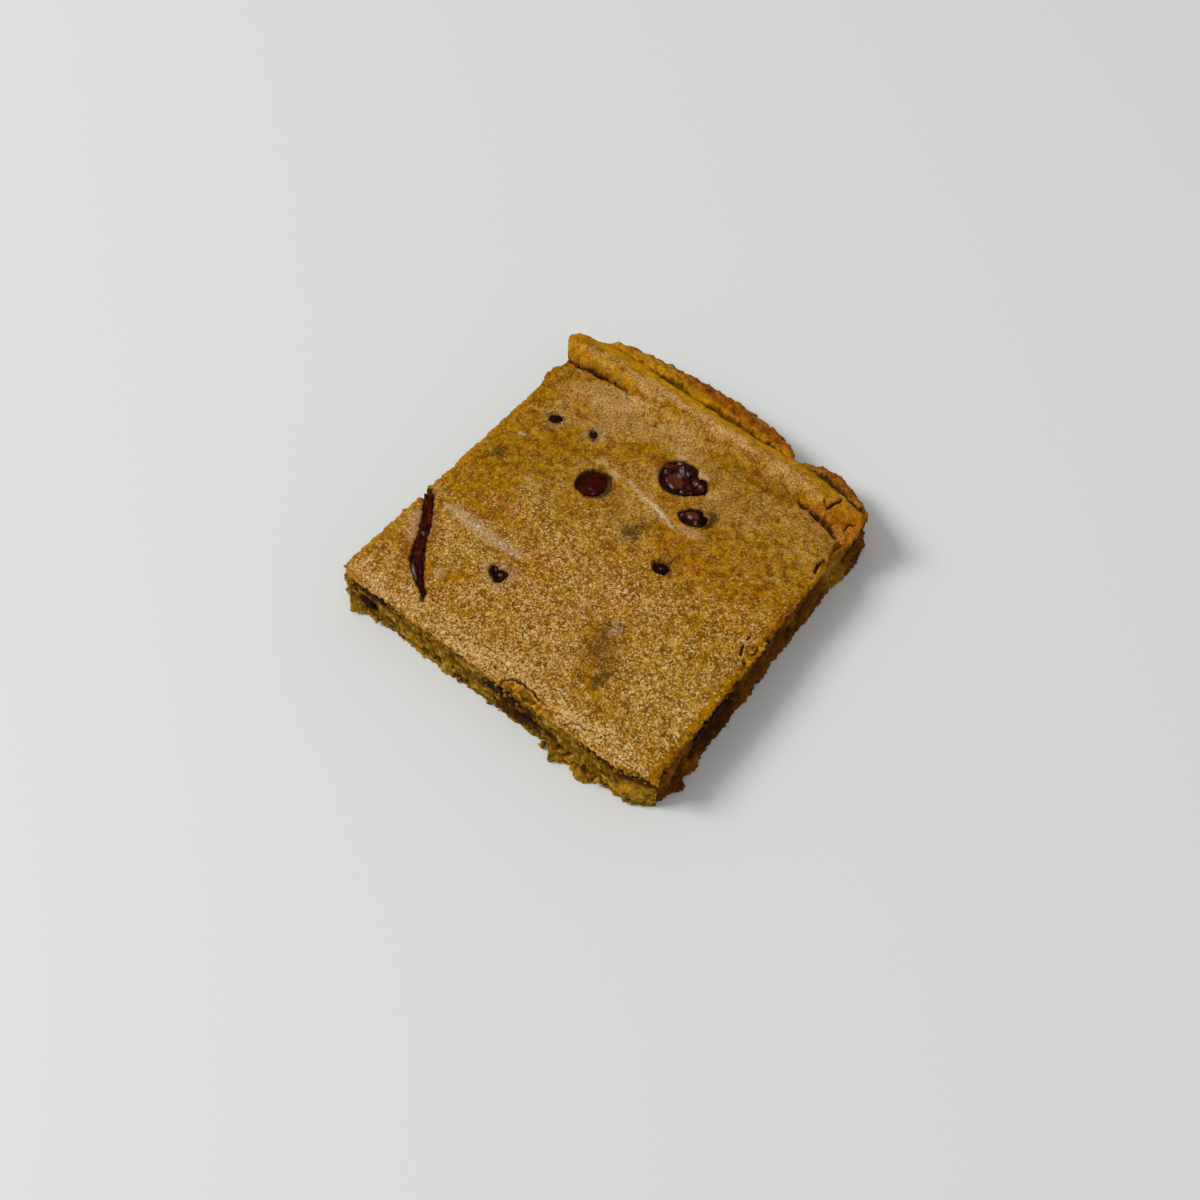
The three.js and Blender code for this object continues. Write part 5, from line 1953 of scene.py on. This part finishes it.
@dataclass
class Base:
    """The flat underside, baked on the pan's floor."""

    plan: Plan
    finish: PanSideFinish
    columns: int = 120
    rows: int = 126
    inset: float = 0.9
    thick: float = 0.5
    grain: Grain = field(default_factory=lambda: Grain(9))

    def build(self) -> Piece:
        """Makes the piece.

        Returns:
            The piece.
        """
        plan = self.plan
        shape = bmesh.new()
        bmesh.ops.create_grid(shape, x_segments=self.columns, y_segments=self.rows, size=1.0)
        bmesh.ops.reverse_faces(shape, faces=shape.faces[:])
        ring = [edge for edge in shape.edges if edge.is_boundary]
        ring = extrude_ring(shape, ring, 1.0)
        bmesh.ops.contextual_create(shape, geom=ring)
        mesh = to_mesh(shape, "pan_floor_base")
        points = mesh_points(mesh)
        u, v = (points[:, 0] + 1.0) / 2.0, (points[:, 1] + 1.0) / 2.0
        x, y = plan.place(u, v)
        back = plan.undercut * plan.lip_share(x) + 1.2
        x = x - self.inset * (2.0 * u - 1.0)
        y = y + self.inset * (1.0 - v) - (back + 0.6) * v
        flat = spots(x, y)
        pits = ramp(self.grain.smooth(flat, 2.4), 0.3, 0.6)
        under = 0.18 * pits + 0.05 * self.grain.layered(flat, 3.0, 2).clip(0.0)
        z = np.where(points[:, 2] > 0.5, self.thick, under)
        settle(mesh, np.stack([x, y, z], axis=1), plan)
        return finished_piece(mesh, [self.finish.build()], ["cake"])


# ---------------- chocolate pieces


@dataclass
class ChipMaker:
    """Makes the chocolate in the crust."""

    plan: Plan
    glossy: bpy.types.Material
    matte: bpy.types.Material
    drawn: bpy.types.Material
    cut: bpy.types.Material
    shard_sides: int = 56
    shard_steps: int = 150

    def build(self, chip: Chocolate) -> Piece:
        """Makes one piece.

        Args:
            chip: Its sizes.

        Returns:
            The piece.
        """
        shape = bmesh.new()
        bmesh.ops.create_icosphere(shape, subdivisions=chip.fineness, radius=1.0)
        mesh = to_mesh(shape, chip.node + "_detail")
        points = mesh_points(mesh)
        angle = np.arctan2(points[:, 1], points[:, 0])
        flat = np.clip(np.hypot(points[:, 0], points[:, 1]), 0.0, 1.0)
        reach = chip.outline.reach(angle) + (0.0 if chip.dull else 0.15)
        x = chip.outline.centre[0] + reach * flat**0.85 * np.cos(angle)
        y = chip.outline.centre[1] + reach * flat**0.85 * np.sin(angle)
        crust = self.plan.crust_height(x, y)
        dome = np.sqrt(np.clip(1.0 - flat * flat, 0.0, 1.0))
        upper = points[:, 2] > 0.0
        turn = math.radians(chip.grain_turn)
        along = (x * math.cos(turn) + y * math.sin(turn)) / chip.grain[0]
        across = (y * math.cos(turn) - x * math.sin(turn)) / chip.grain[1]
        wrinkle = Grain(chip.seed)
        lumps = wrinkle.smooth(spots(x, y, 3.0), 2.2)
        folds = 1.0 - 2.2 * np.abs(wrinkle.smooth(spots(along, across), 1.0))
        fine = wrinkle.layered(spots(x, y, 9.0), 0.6, 2)
        relief = chip.lumps * lumps + chip.wrinkles * folds + 0.06 * fine
        shoulder = dome ** (2.0 * chip.flatness)
        top = (chip.rise + chip.edge) * shoulder + relief * np.minimum(1.0, 2.0 * shoulder)
        z = crust - chip.edge + np.where(upper, top, (chip.edge - chip.sink) * dome)
        warp_x = x + 0.25 * wrinkle.smooth(spots(x, y, 21.0), 0.9)
        warp_y = y + 0.25 * wrinkle.smooth(spots(x, y, 25.0), 0.9)
        ruddy = 0.18 + 0.7 * cover_all(chip.ruddy, warp_x, warp_y)
        # Ruddy patches, and the dark strokes: near black chocolate, partly painted shade along the sunk
        # rim.
        store(mesh, "ruddy", ruddy - 0.9 * cover_all(chip.dark, warp_x, warp_y))
        # Painted glints of light on the chip, with a little whitish fat film.
        store(mesh, "glints_and_bloom", cover_all(chip.glints_and_bloom, warp_x, warp_y))
        settle(mesh, np.stack([x, y, z], axis=1), self.plan)
        material = self.matte if chip.dull else self.glossy
        return finished_piece(mesh, [material], [chip.node])

    def build_shard(self, shard: Shard) -> Piece:
        """Makes the long shard.

        Args:
            shard: Its sizes.

        Returns:
            The piece.
        """
        shape = bmesh.new()
        circle = bmesh.ops.create_circle(shape, segments=self.shard_sides, radius=1.0)["verts"]
        ring = list({edge for vert in circle for edge in vert.link_edges})
        bmesh.ops.contextual_create(shape, geom=ring)
        for _ in range(self.shard_steps):
            ring = extrude_ring(shape, ring, 1.0)
        bmesh.ops.contextual_create(shape, geom=ring)
        bmesh.ops.recalc_face_normals(shape, faces=shape.faces[:])
        mesh = to_mesh(shape, "chocolate_shard_detail")
        points = mesh_points(mesh)
        t = points[:, 2] / self.shard_steps
        spine = np.array(shard.spine)
        stops = np.linspace(0.0, 1.0, len(spine))
        spine_x, spine_y = np.interp(t, stops, spine[:, 0]), np.interp(t, stops, spine[:, 1])
        ahead, behind = np.clip(t + 0.04, 0, 1), np.clip(t - 0.04, 0, 1)
        go_x = np.interp(ahead, stops, spine[:, 0]) - np.interp(behind, stops, spine[:, 0])
        go_y = np.interp(ahead, stops, spine[:, 1]) - np.interp(behind, stops, spine[:, 1])
        length = np.hypot(go_x, go_y)
        width = np.interp(t, stops, shard.half_widths) * np.minimum(1.0, 12.0 * (1.0 - t) + 0.15) - 0.1
        side = points[:, 0] * width
        x = spine_x + go_y / length * side
        y = spine_y - go_x / length * side
        rough = Grain(41)
        flat = spots(x, y)
        strand = spots(side, t * 42.0)
        fibres = 0.5 - np.abs(rough.smooth(strand, (0.8, 7.0, 1.0)))
        relief = 0.16 * rough.smooth(flat, 2.2) + 0.28 * fibres
        relief += 0.08 * rough.smooth(strand + 9.0, (0.4, 4.0, 1.0))
        relief += 0.05 * rough.layered(flat + 5.0, 0.6, 2) + 0.2 * np.abs(points[:, 0]) * ramp(t, 0.75, 0.4)
        split = 0.9 * np.exp(-((side / 0.4) ** 2)) * ramp(t, 0.24, 0.02)
        streaks = rough.smooth(strand + 15.0, (0.55, 6.0, 1.0))
        streaks += 0.5 * rough.smooth(strand + 21.0, (0.25, 2.5, 1.0))
        blackest = hump(t, 0.62, 0.2) * ramp(points[:, 0], 0.1, 0.8) + 0.6 * hump(t, 0.86, 0.1)
        store(mesh, "ruddy", 0.2 + 0.8 * streaks - 0.7 * blackest + 0.5 * split)
        # Painted highlights of whitish gloss on the shard.
        store(mesh, "glints_and_bloom", cover_all(shard.glints_and_bloom, x + 0.3 * rough.smooth(flat, 0.7), y))
        crust = self.plan.crust_height(x, y)
        up = points[:, 1]
        rim = -shard.below - 0.45
        top = rim + 0.55 * np.sqrt(np.clip(up, 0.0, 1.0)) + (relief - split) * np.clip(3.0 * up, 0.0, 1.0)
        z = crust + np.where(up > 0.0, top, rim + shard.sink * up)
        settle(mesh, np.stack([x, y, z], axis=1), self.plan)
        return finished_piece(mesh, [self.drawn], ["chocolate_shard"])

    def build_cut(self, chip: CutChip) -> Piece:
        """Makes one chip in a cut side.

        Args:
            chip: Its sizes.

        Returns:
            The piece.
        """
        shape = bmesh.new()
        bmesh.ops.create_icosphere(shape, subdivisions=5, radius=1.0)
        mesh = to_mesh(shape, chip.node + "_detail")
        points = mesh_points(mesh)
        rough = Grain(chip.seed)
        swell = 1.0 + 0.26 * rough.smooth(points * 3.0, 1.3) + 0.1 * rough.smooth(points * 9.0, 1.3)
        turn = math.radians(chip.turn)
        along = points[:, 0] * swell * chip.length / 2
        up = points[:, 2] * swell * chip.tall / 2
        cosine, sine = math.cos(turn), math.sin(turn)
        along, up = along * cosine - up * sine, along * sine + up * cosine
        inward = points[:, 1]
        face = np.minimum(-inward, 0.12) * chip.deep
        face += 0.3 * rough.layered(spots(along, up, 2.0), 1.6, 4)
        store(mesh, "ruddy", 0.25 + 0.6 * rough.smooth(spots(along, up, 6.0), 2.6))
        store(mesh, "glints_and_bloom", np.zeros(len(points)))
        if chip.side is Side.FRONT:
            x, y = chip.at + along, self.plan.front_line(np.array([chip.at])) + 0.8 - chip.out - face
        else:
            x, y = self.plan.right - 0.75 + face, chip.at + along
        settle(mesh, np.stack([x, y, chip.height + up], axis=1), self.plan)
        return finished_piece(mesh, [self.cut], [chip.node])


# ---------------- loose crumbs


@dataclass(frozen=True)
class CrumbRow:
    """Loose crumbs along a stretch of a side's foot: the side, its ends, count, size and reach."""

    side: Side
    start: float
    end: float
    count: int
    size: Point2
    height: Point2
    reach: Point2


CRUMB_ROWS = on_side(
    CrumbRow,
    Side.FRONT,
    (-43, 45, 70, (0.4, 1), (0.2, 2.2), (-0.2, 1)), (17, 34, 26, (0.7, 1.7), (0.5, 2.6), (0.3, 1.9)),
    (-42, -33, 16, (0.7, 1.6), (0.5, 2.4), (0.2, 1.4)), (38, 44.5, 14, (0.8, 1.9), (3, 9.5), (0, 0.6)),
    (-30, 36, 34, (0.4, 1.1), (2, 10.5), (-0.6, 0.2)),
) + on_side(
    CrumbRow,
    Side.RIGHT,
    (-42, 34, 44, (0.4, 1), (0.2, 2.4), (-0.3, 0.6)), (-40, 32, 18, (0.3, 0.8), (2, 10.5), (-0.6, 0)),
) + on_side(
    CrumbRow,
    Side.LEFT,
    (-42, 34, 60, (0.4, 1.1), (0.2, 10.5), (-0.2, 0.5)),
    (-24, -21, 5, (0.8, 1.5), (10.4, 11.6), (0.2, 1)),
    (-14.4, -12.2, 4, (0.7, 1.3), (10.6, 11.8), (0, 0.5)),
    (-44.4, -42.4, 9, (0.6, 1.3), (5, 9.6), (-0.7, 0.3)),
) + on_side(
    CrumbRow,
    Side.FRONT,
    (-44.6, -42, 10, (0.6, 1.4), (0.4, 10), (-0.4, 0.5)),
    (37, 45, 16, (0.6, 1.4), (9.8, 11.8), (-0.1, 0.4)),
    (-30, 36, 50, (0.3, 0.8), (10.2, 11.6), (-0.3, 0.2)),
) + on_side(
    CrumbRow,
    Side.RIGHT,
    (-44, 20, 30, (0.3, 0.8), (10.4, 11.8), (-0.7, -0.2)),
)


@dataclass
class LooseCrumbs:
    """Small crumbs that cling to the cut sides and lie at their foot."""

    plan: Plan
    finish: CrumbFinish
    seed: int = 77

    def _foot(self, row: CrumbRow, along: float, reach: float) -> tuple[float, float]:
        """Where a crumb sits, seen from above.

        Args:
            row: The row it belongs to.
            along: Its place along the side.
            reach: How far it lies from the side.

        Returns:
            x and y.
        """
        if row.side is Side.FRONT:
            return along, float(self.plan.front_line(np.array([along]))[0]) - reach
        if row.side is Side.RIGHT:
            return self.plan.right + float(self.plan.right_shift(np.array([along]))[0]) + 0.4 + reach, along
        return self.plan.left + float(self.plan.left_shift(np.array([along]))[0]) - reach, along

    def build(self) -> Piece:
        """Makes the piece.

        Returns:
            The piece.
        """
        rng = np.random.default_rng(self.seed)
        shape = bmesh.new()
        for row in CRUMB_ROWS:
            for _ in range(row.count):
                along = rng.uniform(row.start, row.end)
                size = rng.uniform(*row.size)
                height = rng.uniform(*row.height)
                x, y = self._foot(row, along, rng.uniform(*row.reach))
                spin = Matrix.Rotation(rng.uniform(0.0, math.tau), 4, Vector(rng.normal(size=3)))
                half = size / 2
                wide, tall = half * rng.uniform(0.6, 1.0), half * rng.uniform(0.5, 0.9)
                squash = Matrix.Diagonal((half, wide, tall, 1.0))
                place = Matrix.Translation((x, y, max(height, size * 0.4))) @ spin @ squash
                bmesh.ops.create_icosphere(shape, subdivisions=2, radius=1.0, matrix=place)
        mesh = to_mesh(shape, "loose_crumbs")
        points = mesh_points(mesh)
        rough = Grain(self.seed)
        shift = np.stack([rough.smooth(points + offset, 0.8) for offset in (0.0, 19.0, 43.0)], axis=1)
        fine = np.stack([rough.smooth(points + offset, 0.35) for offset in (5.0, 29.0, 61.0)], axis=1)
        points = points + 0.34 * shift + 0.14 * fine
        points[:, 2] = np.maximum(points[:, 2], 0.02)
        x, y = points[:, 0], points[:, 1]
        # Painted shade on the crumbs along the right side, which stands in shade: darker, ruddier and not
        # golden.
        on_right = ramp(x, 44.0, 45.5) * ramp(y, 22.0, 16.0) * ramp(y, -44.5, -43.0)
        store(mesh, "lit_relief", 0.66 - 0.2 * on_right + 0.4 * rough.smooth(points, 2.0))
        store(mesh, "golden", (0.3 + 0.5 * rough.smooth(points + 9.0, 3.0)) * (1.0 - on_right))
        store(mesh, "ruddy", 0.8 * on_right)
        store(mesh, "smeared", np.zeros(len(points)))
        settle(mesh, points, self.plan)
        return finished_piece(mesh, [self.finish.build()], ["cake"])


# ---------------- the studio


@dataclass(frozen=True)
class Studio:
    """A plain pale floor, soft light from the left and the camera."""

    plan: Plan
    floor: Colour = (0.798, 0.812, 0.803)
    camera_from: tuple[float, float, float] = (101.9, -133.8, 243.9)
    look_turn: float = 38.07
    look_down: float = 56.88
    lens: float = 36.06
    sensor: float = 36.0

    def build(self) -> None:
        """Sets up the floor, the light and the camera."""
        self._floor()
        self._camera()
        self._light("key", (-1950.0, -1400.0, 2200.0), 1250.0, 72.5, (1.0, 1.0, 0.99))
        self._light("fill", (400.0, -860.0, 2080.0), 2400.0, 2.4, (1.0, 1.0, 1.0))
        world = bpy.data.worlds.new("soft_room")
        world.use_nodes = True
        world.node_tree.nodes["Background"].inputs["Color"].default_value = (1.0, 1.0, 1.0, 1.0)
        world.node_tree.nodes["Background"].inputs["Strength"].default_value = 0.385
        bpy.context.scene.world = world
        bpy.context.scene.view_settings.view_transform = "Standard"

    def _at(self, place: Sequence[float]) -> Vector:
        """A place given from the middle of the square, in the part's frame and in metres."""
        return Vector((place[0] + self.plan.middle[0], place[1] + self.plan.middle[1], place[2])) * MM

    def _floor(self) -> None:
        """A wide flat floor."""
        shape = bmesh.new()
        bmesh.ops.create_grid(shape, x_segments=4, y_segments=4, size=2.0)
        mesh = to_mesh(shape, "floor")
        floor = bpy.data.objects.new("floor", mesh)
        bpy.context.scene.collection.objects.link(floor)
        material = bpy.data.materials.new("pale_floor")
        material.use_nodes = True
        shader = material.node_tree.nodes["Principled BSDF"]
        shader.inputs["Base Color"].default_value = (*self.floor, 1.0)
        shader.inputs["Roughness"].default_value = 0.6
        mesh.materials.append(material)

    def _camera(self) -> None:
        """The camera, looking down at the square from its front right."""
        data = bpy.data.cameras.new("camera")
        data.lens = self.lens
        data.sensor_width = self.sensor
        data.clip_start = 0.01
        camera = bpy.data.objects.new("camera", data)
        camera.location = self._at(self.camera_from)
        camera.rotation_euler = (math.radians(90.0 - self.look_down), 0.0, math.radians(self.look_turn))
        bpy.context.scene.collection.objects.link(camera)
        bpy.context.scene.camera = camera

    def _light(self, name: str, place: Sequence[float], size: float, power: float, colour: Colour) -> None:
        """One square soft light that faces the square.

        Args:
            name: Its name.
            place: Where it hangs, in millimetres from the middle of the square.
            size: Its width in millimetres.
            power: Its power in watts.
            colour: Its colour.
        """
        data = bpy.data.lights.new(name, "AREA")
        data.size = size * MM
        data.energy = power
        data.color = colour
        light = bpy.data.objects.new(name, data)
        light.location = self._at(place)
        light.rotation_euler = (-light.location).to_track_quat("-Z", "Y").to_euler()
        bpy.context.scene.collection.objects.link(light)


def main() -> None:
    """Builds the square piece by piece."""
    logging.basicConfig(level=logging.INFO, format="%(name)s: %(message)s")
    plan = Plan()
    shard = Shard()
    Crust(plan, CrustFinish(), shard).build()
    Crumb(plan, CrumbFinish(), PanSideFinish()).build()
    Base(plan, PanSideFinish()).build()
    glossy = ChocolateFinish("melted_chocolate").build()
    maker = ChipMaker(plan, glossy, DULL.build(), DRAWN.build(), CUT.build())
    for chip in CHIPS:
        maker.build(chip)
    maker.build_shard(shard)
    for cut_chip in CUT_CHIPS:
        maker.build_cut(cut_chip)
    LooseCrumbs(plan, CrumbFinish()).build()
    Studio(plan).build()


if __name__ == "__main__":
    main()
